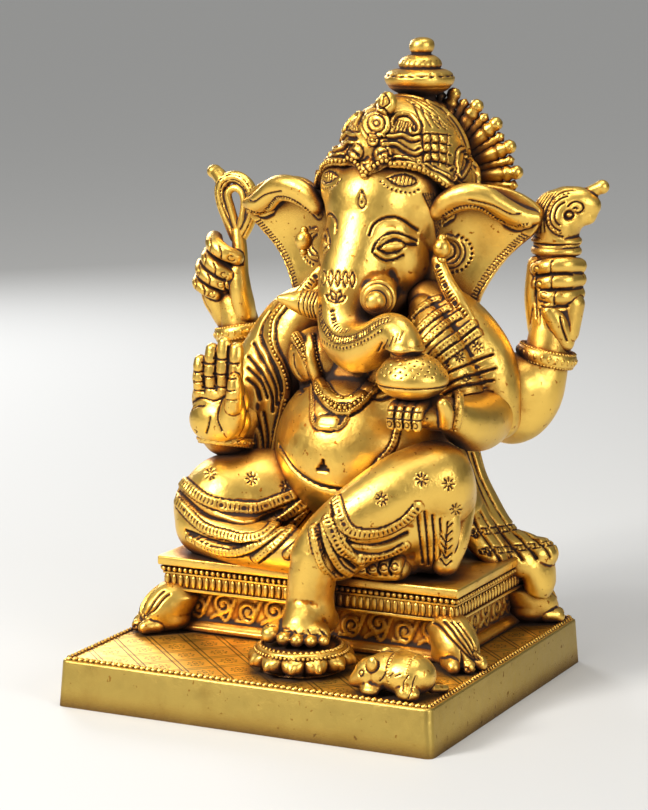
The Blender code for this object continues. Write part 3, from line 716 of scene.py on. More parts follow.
def buildPaw(name, side, end):  # a lion's paw under a leaf scroll, turned out along the diagonal
    p, block = pawSizes, throneSizes
    inward = p["fromCorner"]
    corner = Vector((side * (block["half"] - inward),
                     block["front"] + inward if end < 0 else block["back"] - inward, 18.6))
    out = Vector((side, end * 0.8, 0)).normalized()
    across = Vector((-out.y, out.x, 0))

    def at(reach, lift, wide=0.0, *radius):
        return (*(corner + out * reach + across * wide + Vector((0, 0, lift))), *radius)
    toes = [limb(at(8, 3.6, w, 3.2), at(12, 3.4, w * 1.05, 3.1), at(15 - abs(w) * 0.3, 2.8, w * 1.1, 2.7))
            for w in p["toes"]]
    paw = skin("throneFoot_" + name, [
        limb(at(-3, 14.5, 0, 7.4), at(1.5, 11.5, 0, 9.0), at(6, 7.6, 0, 8.6), at(9.5, 5, 0, 5.6)),
        ball(at(2, 5), (9, 9, 5)), ball(at(-2, 14.5), (9, 9, 3))], p["voxel"], 2, 1.1, toes)

    def trail(*points):
        return lay(paw, [at(*q) for q in points], 0.7, Vector(-out) + Vector((0, 0, -0.5)), 20)[0]
    swirls = [trail((2, 19 - k, -7 + k * 2.2), (10 + k, 14 - k * 1.2, -5.4 + k * 2.8),
                    (14, 8.4 - k * 0.4, -1.6 + k * 2.0), (15, 5.6, 2.2 + k)) for k in range(4)]
    curls = [trail((4, 17, 7 - k * 1.8), (12, 12.6 - k, 7.4 - k * 1.4), (15, 8.8 - k, 5.4 - k))
             for k in range(2)]
    press(paw, swirls, 0.5, -1.0)
    press(paw, curls, 0.45, -0.8)
    press(paw, [trail((10, 7, w), (16, 4.6, w), (19, 1.6, w)) for w in p["clawGaps"]], 0.5, -0.8)
    finish(paw, "throne_foot_" + name, dirt=1.2)


lotusSizes = {"centre": (11.5, -45.0), "petals": 12, "gapDepth": 5.0, "veinDepth": 0.5, "droop": 1.6,
              "ropes": ((15.6, 28.4, (1.5, 0.85, 0.95), 44),
                        (17.9, 26.9, (0.8, 0.8, 0.8), 64))}  # radius, z, strand, count


def buildLotus():
    p = lotusSizes
    x0, y0 = p["centre"]
    bm = bmesh.new()
    profile = [(0.2, 19.0), (15.5, 19.0), (16.0, 20.2), (18.2, 21.2), (20.0, 22.6), (20.6, 24.2), (19.8, 25.6),
               (18.4, 26.4), (17.6, 27.2), (17.2, 28.0), (16.2, 28.5), (14.6, 28.5), (13.8, 28.0), (8, 28.0),
               (0.2, 28.1)]
    lathe(bm, curveThrough(profile, 0.6), 240, 0.02, p["centre"])
    for v in bm.verts:
        dx, dy = v.co.x - x0, v.co.y - y0
        r, a = math.hypot(dx, dy), math.atan2(dy, dx)
        if r < 12 or v.co.z < 19.2:
            continue
        wave = abs(math.sin(a * p["petals"] / 2))  # 0 in the gaps between petals
        lobe = wave ** 0.45
        skirt = max(0.0, 1 - abs(v.co.z - 23.0) / 4.4)
        pull = (1 - lobe) * p["gapDepth"] * skirt ** 0.6 - skirt * (wave > 0.9)
        vein = p["veinDepth"] * math.exp(-((wave - 0.93) / 0.05) ** 2) * skirt
        grow = (r - pull - vein) / r
        v.co.x, v.co.y = x0 + dx * grow, y0 + dy * grow
        v.co.z -= p["droop"] * skirt * lobe * max(0.0, (r - 17) / 4)
    finish(newPiece("lotusPetals", bm), "lotus_footrest", dirt=1.2)
    bm = bmesh.new()
    for radius, z, size, count in p["ropes"]:
        for i in range(count):
            a = fullTurn * i / count
            place = Matrix.Translation((x0 + radius * math.cos(a), y0 + radius * math.sin(a), z))
            place = place @ Matrix.Rotation(a + 0.9, 4, "Z") @ Matrix.Diagonal((*size, 1))
            bmesh.ops.create_icosphere(bm, subdivisions=1, radius=1, matrix=place)
    finish(newPiece("lotusRope", bm), dirt=0)
    print("lotus done")


mouseSizes = {"voxel": 0.4, "eyes": ((47.6, -69.4, 27.3), (47.2, -58.8, 27.3)), "hairs": 5,
              "saddle": (58.5, 67)}


def buildMouse():
    p = mouseSizes
    mouse = skin("mouseBody", [
        ball((63, -61, 26.6), (11.5, 9.6, 8.2)), ball((55, -62, 27.2), (8, 7.8, 7.2)),
        ball((50, -63, 26), (7.0, 6.6, 6.4)), limb((47, -64, 24.6, 4.6), (44.6, -64.6, 23.2, 3.4),
            (43, -65, 22.4, 2.4)), ball((60, -57, 30), (6, 5, 4.6)),
        ball((51.6, -69, 20.8), (4.2, 2.6, 2.2)), ball((67, -69, 21.4), (5, 3.2, 3)),
        ball((51, -57, 20.6), (4, 2.2, 1.8))], p["voxel"], 2, 0.9,
                 [ball((53, -57.6, 32.2), (2.6, 1.6, 3.0), (0, 20, 20)),
                  ball((52.4, -69.2, 31.4), (2.6, 1.6, 3.0), (0, 20, -20)),
                  limb((72, -58, 21.5, 2.0), (74.5, -52, 20.3, 1.6), (71, -48, 20.1, 1.4),
                       (66, -47.5, 20.1, 1.1))])
    press(mouse, [lay(mouse, circleLine(eye, 1.3), 0.5, None)[0] for eye in p["eyes"]], 0.4, -0.5)
    hairs = [lay(mouse, [(56 + i * 3.2, -73, 24 + 5 * math.sin(i)), (58 + i * 3.2, -70, 29)], 0.7, None)[0]
             for i in range(p["hairs"])]
    saddle = [lay(mouse, [(x, -74, 24), (x, -67, 34), (x, -56, 34), (x, -50, 24)], 0.8, None)[0]
              for x in p["saddle"]]
    press(mouse, hairs, 0.35, -0.35)
    press(mouse, saddle, 0.5, 0.6, 1.3)
    finish(mouse, "mouse", dirt=1.0)
    print("mouse done")


def dressBolts():
    for number in range(1, 5):
        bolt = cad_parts["hold_down_bolt_%d" % number]
        for slot in bolt.material_slots:
            slot.material = materials["boltSteel"]


buildPlinth()
buildThrone()
buildLotus()
buildMouse()
dressBolts()


middle = 5.5  # the face's centre plane


def inPlane(y, *points):  # (x, z) pairs in an upright plane
    return [(x, y, z) for x, z in points]


def acrossFace(piece, trail):  # the same trail on the other side of the face
    other = [(2 * middle - x, y, z) for x, y, z in trail[0]]
    return lay(piece, other, towards=None, curved=False)


def seen(piece, y, *points, step=1.0):  # a line drawn from where the lens stands
    return lay(piece, inPlane(y, *points), step, sight, 40)


def carve(piece, y, lines, width, depth, step=1.0):  # grooves, or ridges where depth is above 0
    press(piece, [seen(piece, y, *line, step=step)[0] for line in lines], width, depth)


hemRule = {"band": 0.52, "edge": 0.56, "rib": 0.34, "edgeWidth": 0.42, "edgeDepth": -0.75, "ribDepth": -0.42}


def hem(piece, trail, width, ribs=2.1, rise=0.8):  # a ribbed border between two grooves
    p = hemRule
    press(piece, [trail[0]], width * p["band"], rise, plateau=True)
    press(piece, [shifted(trail, width * p["edge"]), shifted(trail, -width * p["edge"])], p["edgeWidth"],
          p["edgeDepth"])
    if ribs:
        press(piece, [trail[0]], width * p["rib"], p["ribDepth"], ribs, plateau=True)


def rosette(piece, spots, radius=2.4):  # a punched flower
    lines = []
    for spot in spots:
        x, y, z = spot
        for i in range(8):
            a = math.pi * i / 4
            u, v = math.cos(a), math.sin(a)
            lines.append(lay(piece, [(x + u * radius * 0.4, y, z + v * radius * 0.4),
                                     (x + u * radius, y, z + v * radius)], 0.5, sight, 30)[0])
    press(piece, lines, 0.42, -0.6)


def dots(piece, trail, gap, width=0.55, depth=-0.6):
    line = curveThrough(trail[0], gap)
    press(piece, [np.array([q, q + 0.05]) for q in line], width, depth)


closedTurn = 6.4  # a little past a full turn, so that a round groove closes


def circlePairs(centre, radius, count=18):
    x, z = centre
    return [(x + radius * math.cos(a), z + radius * math.sin(a)) for a in np.linspace(0, closedTurn, count)]


def boss(piece, spot, radius, height):  # a low round swelling
    press(piece, [np.array([spot, spot + 0.05])], radius, height, plateau=True)


torsoSizes = {"belly": (5, 26, 93), "bellyRadii": (36.5, 38, 34), "folds": 12, "voxel": 0.74}


def buildTorso():
    p = torsoSizes
    torso = skin("torsoSkin", [
        ball(p["belly"], p["bellyRadii"]), ball((5, 36, 122), (34, 27, 28)), ball((5, 38, 68), (46, 27, 20)),
        ball((-11, 18, 129), (14, 11, 13)), ball((21, 18, 129), (14, 11, 13)),
        ball((5, 26, 120), (24, 18, 18)), ball((5, 46, 106), (35, 19, 48)),
        limb((6, 40, 138, 18), (6.5, 42, 152, 17)), ball((-26, 43, 134), 13), ball((37, 43, 134), 13)],
                 p["voxel"], 8)
    navel = [((1.9, 89.7), (6.3, 89.5)), ((4.1, 93.4), (4.1, 90.2)), ((3.1, 91), (5.1, 91))]
    carve(torso, -12, navel, 0.72, -1.7)
    carve(torso, -5, [((-19, 96), (-12, 87.5), (-4.5, 83), (3, 81.2), (11.5, 81.2), (19, 85))], 1.1, -1.4)
    chest = [seen(torso, 6, (-22, 131), (-20.5, 121), (-17, 118.5), (-11.5, 120), (-8, 121.5))[0],
             seen(torso, 4, (14, 119), (21, 117), (29, 120))[0]]
    press(torso, chest, 1.0, -1.2)
    hem(torso, seen(torso, -8, (36, 113), (33, 101.5), (27, 94), (22.5, 88), (19, 83)), 2.8, 1.9, 0.7)
    backFolds = between([(-30, 80, 140), (-22, 80, 118), (-2, 80, 104), (20, 80, 98)],
                        [(-34, 80, 86), (-20, 80, 66), (4, 80, 60), (34, 80, 62)], p["folds"], 2.0)
    press(torso, [lay(torso, line, 1.6, -ahead, 40)[0] for line in backFolds], 0.9, -0.9)
    hem(torso, lay(torso, [(-32, 80, 138), (-12, 80, 148), (12, 80, 150), (34, 80, 142)], 1.2, -ahead, 40),
        4.0)
    hem(torso, lay(torso, [(-14, 80, 140), (2, 80, 118), (22, 80, 106), (40, 80, 92)], 1.2, -ahead, 40), 3.4)
    necklaces(torso)
    finish(torso, "torso", dirt=1.0)
    finish(flushBeads("necklaceBeads"), "necklace", "pendant", dirt=0)
    print("torso done")


def necklaces(torso):
    inner = seen(torso, 2, (-8, 140), (-6, 128), (-1.5, 120), (2.5, 116), (8, 115.5), (12.5, 117.5),
                 (17.5, 122.5), (22, 130), (25, 138))
    outer = seen(torso, 0, (-16, 143), (-11, 137), (-7, 131), (-4.5, 124.5), (-1.5, 117.5), (4, 112.5),
                 (10, 112.5), (16, 117), (22, 123.5), (27, 130), (31, 138))
    for trail, width in ((inner, 1.6), (outer, 2.4)):
        press(torso, [trail[0]], width, 1.5, plateau=True)
    press(torso, [shifted(outer, 2.7), shifted(outer, -2.7), shifted(inner, 1.9), shifted(inner, -1.9)], 0.55,
          -1.0)
    trees.pop(torso.name)
    for trail, radius in ((inner, 0.75), (outer, 1.0)):
        fresh = lay(torso, trail[0], towards=None, curved=False)
        beads(*fresh, radius, lift=0.3)
        if radius > 0.9:
            beads(shifted(fresh, 1.25), fresh[1], 0.55, lift=0.3)
            beads(shifted(fresh, -1.25), fresh[1], 0.55, lift=0.3)
    string = seen(torso, -4, (-4.5, 122), (-4.3, 115.5), (-4.2, 108), (-1.5, 105.2), (6, 105.2), (9.5, 107.5),
                  (12, 112), (17, 116), (22, 121))
    press(torso, [string[0]], 0.8, 0.7)
    beads(*string, 0.5, lift=0.9)
    square = seen(torso, -6, (0.4, 110.4), (6.2, 110.4), (6.2, 104.6), (0.4, 104.6), (0.4, 110.4), step=0.5)
    press(torso, [seen(torso, -6, (1.5, 107.5), (5.2, 107.5))[0]], 2.9, 1.1, plateau=True)
    press(torso, [square[0]], 0.45, -0.7)
    carve(torso, -6, [circlePairs((3.3, 107.6), 1.5, 12)], 0.35, -0.6, 0.4)


headSizes = {"skull": (8.5, 48, 186), "skullRadii": (27, 26, 29), "forehead": (6, 33, 190),
             "foreheadRadii": (21, 19, 21), "voxel": 0.57, "mouth": (40.9, -15.2, 140.9),
             "mouthRing": (6.8, 6.6, 1.1), "mouthHole": (5.2, 5.0, 4.0)}
trunkPath = [(5.5, 34, 190, 17.5), (5, 29.5, 182, 17), (4.8, 25, 174, 16.2), (3.8, 20, 165, 14.8),
             (3, 15, 156, 13.2), (3.2, 10.6, 147.5, 11.4), (5.5, 7.2, 140.8, 10.9), (12, 2.8, 137.3, 10.8),
             (19, -2, 138.6, 9.6), (25.5, -6, 142, 8.5), (31, -9.5, 145.8, 7.7), (35.6, -12.2, 146.7, 7.1),
             (39, -14.2, 145.2, 6.7), (40.6, -15, 143, 6.8), (40.9, -15.2, 141.8, 7.2)]


def openTrunk(head):  # the hollow end of the trunk
    x, y, z = headSizes["mouth"]
    wide, deep, high = headSizes["mouthHole"]
    co = readShape(head)[0]
    hole = np.exp(-(((co[:, 0] - x) / wide) ** 4 + ((co[:, 1] - y) / deep) ** 4))
    co[:, 2] += high * hole * (co[:, 2] < z + 0.6) * (co[:, 2] > z - 2.9)
    writeShape(head, co)


def buildHead():
    p = headSizes
    wide, deep, thick = p["mouthRing"]
    mouthRing = limb(*[(*spot, thick) for spot in levelRing(p["mouth"], (wide, deep), 20)])
    head = skin("headAndTrunk", [
        ball(p["skull"], p["skullRadii"]), ball(p["forehead"], p["foreheadRadii"]),
        ball((6, 31, 178), (20, 16.5, 21)), ball((17, 37, 197), (15, 15.5, 15)),
        ball((-5.5, 36, 197), (13, 15, 15)), ball((21, 40, 189), (13, 14, 17)),
        ball((15.6, 33, 170), (13, 13.5, 16)), ball((-5, 33, 170), (13, 13.5, 16)),
        ball((6, 31, 153), (16, 13, 11)), ball((24, 46, 158), (14, 11, 20)),
        ball((-11, 46, 158), (14, 11, 20)), ball((16, 24, 176.5), (9, 6.5, 8)),
        ball((-4, 24, 176.5), (9, 6.5, 8)), limb(*trunkPath),
        limb((13, 18, 157.5, 8.4), (17.6, 11, 157, 6.9)), limb((-1, 18, 152, 7.4), (-5.5, 13, 151, 6.6))],
                p["voxel"], 6, 1.5, [mouthRing])
    openTrunk(head)
    eyes(head)
    trunkMarks(head)
    finish(head, "head", "trunk", dirt=1.0)
    tusks()
    print("head done")


def eyes(head):
    browAndLids = (((7, 178), (9, 182.5), (13.5, 185.2), (18.5, 186), (22.5, 185), (28.5, 182)),
                   ((8.5, 171.5), (10, 175), (15, 179), (18.5, 180), (22.5, 179.5), (28, 178)),
                   ((9.5, 170.5), (13.5, 168.6), (17.5, 168.9), (22, 171.2)))
    openEye = (((11, 172.8), (14.5, 175.6), (18, 177.2), (21.5, 176.7), (24, 175.8), (28, 176.4)),
               ((11, 172.8), (14.5, 171.4), (18.5, 171.8), (21.5, 173.8), (24, 175.8)))
    cuts = [seen(head, 24, *line, step=0.6) for line in browAndLids] + [seen(head, 24, *line, step=0.5)
            for line in openEye]
    bulge = seen(head, 24, (14.5, 174), (18, 174.5), (21, 175), step=0.4)
    lid = seen(head, 24, (9.6, 173.4), (12.5, 177.2), (17, 179), (21.5, 178.6), (27, 177.2), step=0.6)
    iris = seen(head, 24, *circlePairs((18, 174.4), 1.7), step=0.4)
    fringe = seen(head, 21, (13.5, 200.5), (17, 198), (23, 197), (27, 197), (30, 198.5), step=0.6)
    almond = seen(head, 21, (16.5, 202), (20, 203.6), (24, 204.4), (28, 203.5), (29.2, 201.5), (25.5, 199.6),
                  (21, 199.6), (16.5, 202), step=0.5)
    hatch = [seen(head, 21, (18.4 + i * 1.7, 200.3), (19.4 + i * 1.7, 203.6), step=0.5) for i in range(6)]
    temples = [lay(head, line, 1.0, sight, 40) for line in
               between(inPlane(32, (27, 195), (31.5, 187), (33.5, 178.5)),
                       inPlane(32, (31.5, 195.5), (34.5, 189), (35.5, 180.5)), 5)]
    for mirrored in (False, True):
        def side(trail):
            return acrossFace(head, trail) if mirrored else trail
        for trails, width, depth in (([bulge], 2.2, 0.9), ([lid], 0.9, 0.7), (cuts, 0.60, -1.0),
                                     ([iris], 0.40, -0.4), ([almond], 0.42, -0.7), (hatch, 0.32, -0.4),
                                     (temples, 0.45, -0.65)):
            press(head, [side(trail)[0] for trail in trails], width, depth)
        dots(head, side(fringe), 1.7, 0.5, -0.6)
    drop = ((5.6, 196.5), (3.7, 191.8), (5.5, 189.2), (7.4, 191.8), (5.6, 196.5))
    carve(head, 20, [drop], 0.42, -0.7, 0.5)  # a plain drop in the middle of the forehead
    carve(head, 20, [((5.5, 191.9), (5.5, 191.2))], 0.7, -0.7, 0.4)


def trunkMarks(head):
    for x in (-5.5, -2.5, 0.8, 4.2, 7.4):  # flames in a row
        flame = ((x, 159.5), (x - 1.1, 162.5), (x + 0.2, 165.8), (x + 1.2, 162.5), (x, 159.5))
        carve(head, 8, [flame], 0.38, -0.65, 0.5)
    for a in (-60, -25, 25, 60):  # lotus
        u, v = math.sin(math.radians(a)), math.cos(math.radians(a))
        for way in (-1, 1):
            petal = ((1, 153.5), (1 + u * 3 - way * v * 1.1, 153.5 + v * 3 + way * u * 1.1),
                     (1 + u * 5.2, 153.5 + v * 5.2))
            carve(head, 6, [petal], 0.38, -0.6, 0.5)
    rim = seen(head, 0, (-3.2, 152.5), (-2.6, 147), (0.2, 142.2), (4, 139.8), (10, 140.2), (16, 143),
               (22, 147.3), (27, 149.2), step=0.6)
    inner = seen(head, 2, (1.4, 150.5), (2.4, 146), (5, 143), (9, 143.5), step=0.6)
    scallop = seen(head, 0, (-2.5, 139), (2.5, 136.8), (7.5, 136.4), (12.5, 138.2), (18.5, 141), (23, 144.2),
                   step=0.5)
    press(head, [shifted(rim, 1.5), shifted(rim, -1.5)], 0.32, -0.5)
    press(head, [rim[0]], 0.95, -0.5, 1.6, plateau=True)
    press(head, [inner[0]], 0.8, -0.5, 1.5, plateau=True)
    dots(head, scallop, 2.2, 0.7, -0.5)
    for i in range(5):  # wrinkles over the bend
        carve(head, -10, [((27 + i * 2.2, 138.0 + i * 1.2), (28.5 + i * 2.2, 141.5 + i * 1.2))], 0.35, -0.35,
              0.5)


tuskSizes = {"voxel": 0.4, "grooves": (-7.6, -9, -10.4, -12, -14), "stubRoot": (19.5, 6, 156.6),
             "stubHeading": (0.32, -0.94, -0.02)}


def tusks():
    p = tuskSizes
    tusk = skin("tuskWhole",
                [limb((-3, 15, 151, 7.4), (-9, 10.5, 151.4, 6.4), (-15, 7, 152.6, 4.6),
                      (-19, 4.8, 153.6, 3.0), (-22, 3.2, 154.2, 1.5))], p["voxel"], 3)
    press(tusk, [lay(tusk, [(x, 6, 146), (x + 0.4, 2, 151.6), (x, 8, 157)], 0.6, None)[0]
                 for x in p["grooves"]],
          0.32, -0.45)
    finish(tusk, "right_tusk")
    bm = bmesh.new()
    profile = [(0.05, -6), (6.2, -6), (6.9, -1), (7.2, 0.4), (6.9, 1.6), (5.9, 1.9), (5.6, 2.6), (6.0, 3.6),
               (5.7, 4.8), (4.7, 5.2), (3.4, 5.6), (3.2, 6.4), (3.7, 7.8), (4.0, 9.4), (3.6, 11.2),
               (2.3, 12.6), (1.0, 13.1), (0.05, 13.2)]
    lathe(bm, curveThrough(profile, 0.5), 56, 0.06)
    bmesh.ops.transform(bm, matrix=pointed(p["stubRoot"], p["stubHeading"]), verts=bm.verts)
    finish(newPiece("tuskStub", bm), "left_tusk_stub", dirt=1.0)


earOutline = [(27, 191), (36.5, 196.5), (44.5, 199), (56, 198), (65, 194.5), (71.5, 188.5), (69, 181),
              (62, 174.5), (56.5, 169), (51.5, 162), (47.5, 154), (45.5, 146), (43, 141.5), (38, 142),
              (33.5, 150), (29, 161), (26, 175)]
earFold = [(32, 33, 188, 3.5), (37, 33.5, 192.5, 4.6), (44, 34.5, 195, 5.2), (51, 36.5, 194.5, 5.2),
           (58, 39.5, 190, 5.0), (64, 42.5, 187, 4.2), (69.5, 45.5, 186.5, 2.6)]


earLip = ((33, 184.5), (38, 188), (44, 190.5), (50, 190.2), (56, 185.8), (62, 183), (67.5, 183.8))
earRim = ((67, 179.5), (60.5, 173.4), (55, 167.4), (50.5, 160.2), (47, 152.5), (45, 146))
earSizes = {"thickness": 3.4, "voxel": 0.5, "dish": 3.0, "lean": 0.24, "tickGap": 1.35, "dropVoxel": 0.3}


def buildEar(name, side):
    p = earSizes

    def x(value):
        return value if side > 0 else 2 * middle - value
    outline = [(x(a), 36 + (a - 27) * p["lean"], b) for a, b in earOutline]
    fold = limb(*[(x(a), b, c, r) for a, b, c, r in earFold], flat=0.8, up=(side * 0.2, 1, 0.3))
    ear = skin(name + "EarBlade", [flap(outline, p["thickness"]), fold], p["voxel"], 3)
    co = readShape(ear)[0]
    bowl = np.exp(-(((co[:, 0] - x(48)) / 13) ** 2 + ((co[:, 2] - 172) / 15) ** 2))
    co[:, 1] += p["dish"] * bowl  # the blade is dished
    writeShape(ear, co)

    def trail(y, *points, step=0.7):
        return lay(ear, [(x(a), y, b) for a, b in points], step, ahead, 24)
    lip = trail(30, *earLip)
    press(ear, [lip[0]], 1.5, 0.9, plateau=True)
    press(ear, [shifted(lip, 1.3), shifted(lip, -1.3)], 0.45, -0.7)
    trees.pop(ear.name)
    press(ear, [trail(28, *earLip)[0]], 0.9, -0.7, 1.35)
    ticks = [trail(34, (a - 3.4, b + 0.4), (a + 0.4, b - 1.2)) for a, b in curveThrough(earRim, p["tickGap"])]
    press(ear, [tick[0] for tick in ticks], 0.36, -0.5)
    press(ear, [trail(34, (47, 193.8), (56, 191.6), (62, 188.5), (65.5, 188.6))[0]], 0.45, -0.5)
    ring = trail(34, (38.5, 178.5), (42.5, 175.5), (43.5, 170.5), (41, 165.5), (36.5, 163.5))
    dots(ear, ring, 1.9, 0.65, -0.8)
    press(ear, [trail(34, (34.5, 178), (38.5, 176.2), (40.2, 171.5), (38, 167), (34, 166.2))[0]], 0.8, 0.8)
    press(ear, [trail(34, (34.5, 176), (37, 174), (37.2, 170.5), (34.5, 168.5))[0]], 0.5, -0.8)
    finish(ear, name + "_ear", dirt=1.0)
    drop = skin(name + "EarDrop", [
        ball((x(36), 30, 174.4), (3.6, 3.4, 4.0)), ball((x(36), 30.5, 178.6), (1.6, 1.6, 1.6)),
        ball((x(36), 30, 169.8), (1.9, 1.8, 1.6))], p["dropVoxel"], 3)
    finish(drop, name + "_earring", dirt=0.8)


tasselSizes = {"voxel": 0.4, "outward": 5, "rightDrop": 7}


def buildTassels():  # leaf-shaped ends of the head cloth, lying on each shoulder
    p = tasselSizes
    for side, name in ((1, "tasselLeft"), (-1, "tasselRight")):
        def at(x, y, z, *radius):
            across = x if side > 0 else 2 * middle + p["outward"] - x
            return (across, y, z if side > 0 else z - p["rightDrop"], *radius)
        strand = skin(name, [limb(at(34, 31, 169, 3.0), at(39, 28, 161, 3.6), at(45, 26, 153.5, 4.0),
                                  at(50.5, 25, 147.5, 2.4), flat=0.7, up=(0, 1, 0))], p["voxel"], 3)
        trail = lay(strand, [at(35, 20, 167), at(39.5, 18, 160), at(45, 18, 153), at(49.5, 18, 148.4)], 0.8,
                    ahead, 20)
        press(strand, [shifted(trail, 2.0), shifted(trail, -2.0)], 0.38, -0.6)
        press(strand, [trail[0]], 1.1, -0.5, 1.7, plateau=True)
        finish(strand, dirt=1.1)


crownSizes = {"axis": (8.5, 47.5), "voxel": 0.53, "mirror": 8.0, "tuckIn": 0.42, "bead": 0.95, "backPetals": 7}
crownHem = [(8, 18, 202), (11, 18.5, 204.4), (16, 19.5, 207), (22, 21.5, 207.8), (28, 25, 206.3),
            (33, 30, 203), (37.5, 36, 198), (41, 44, 193), (41.5, 56, 190), (35, 68, 188), (22, 76, 187),
            (8.5, 78, 187)]


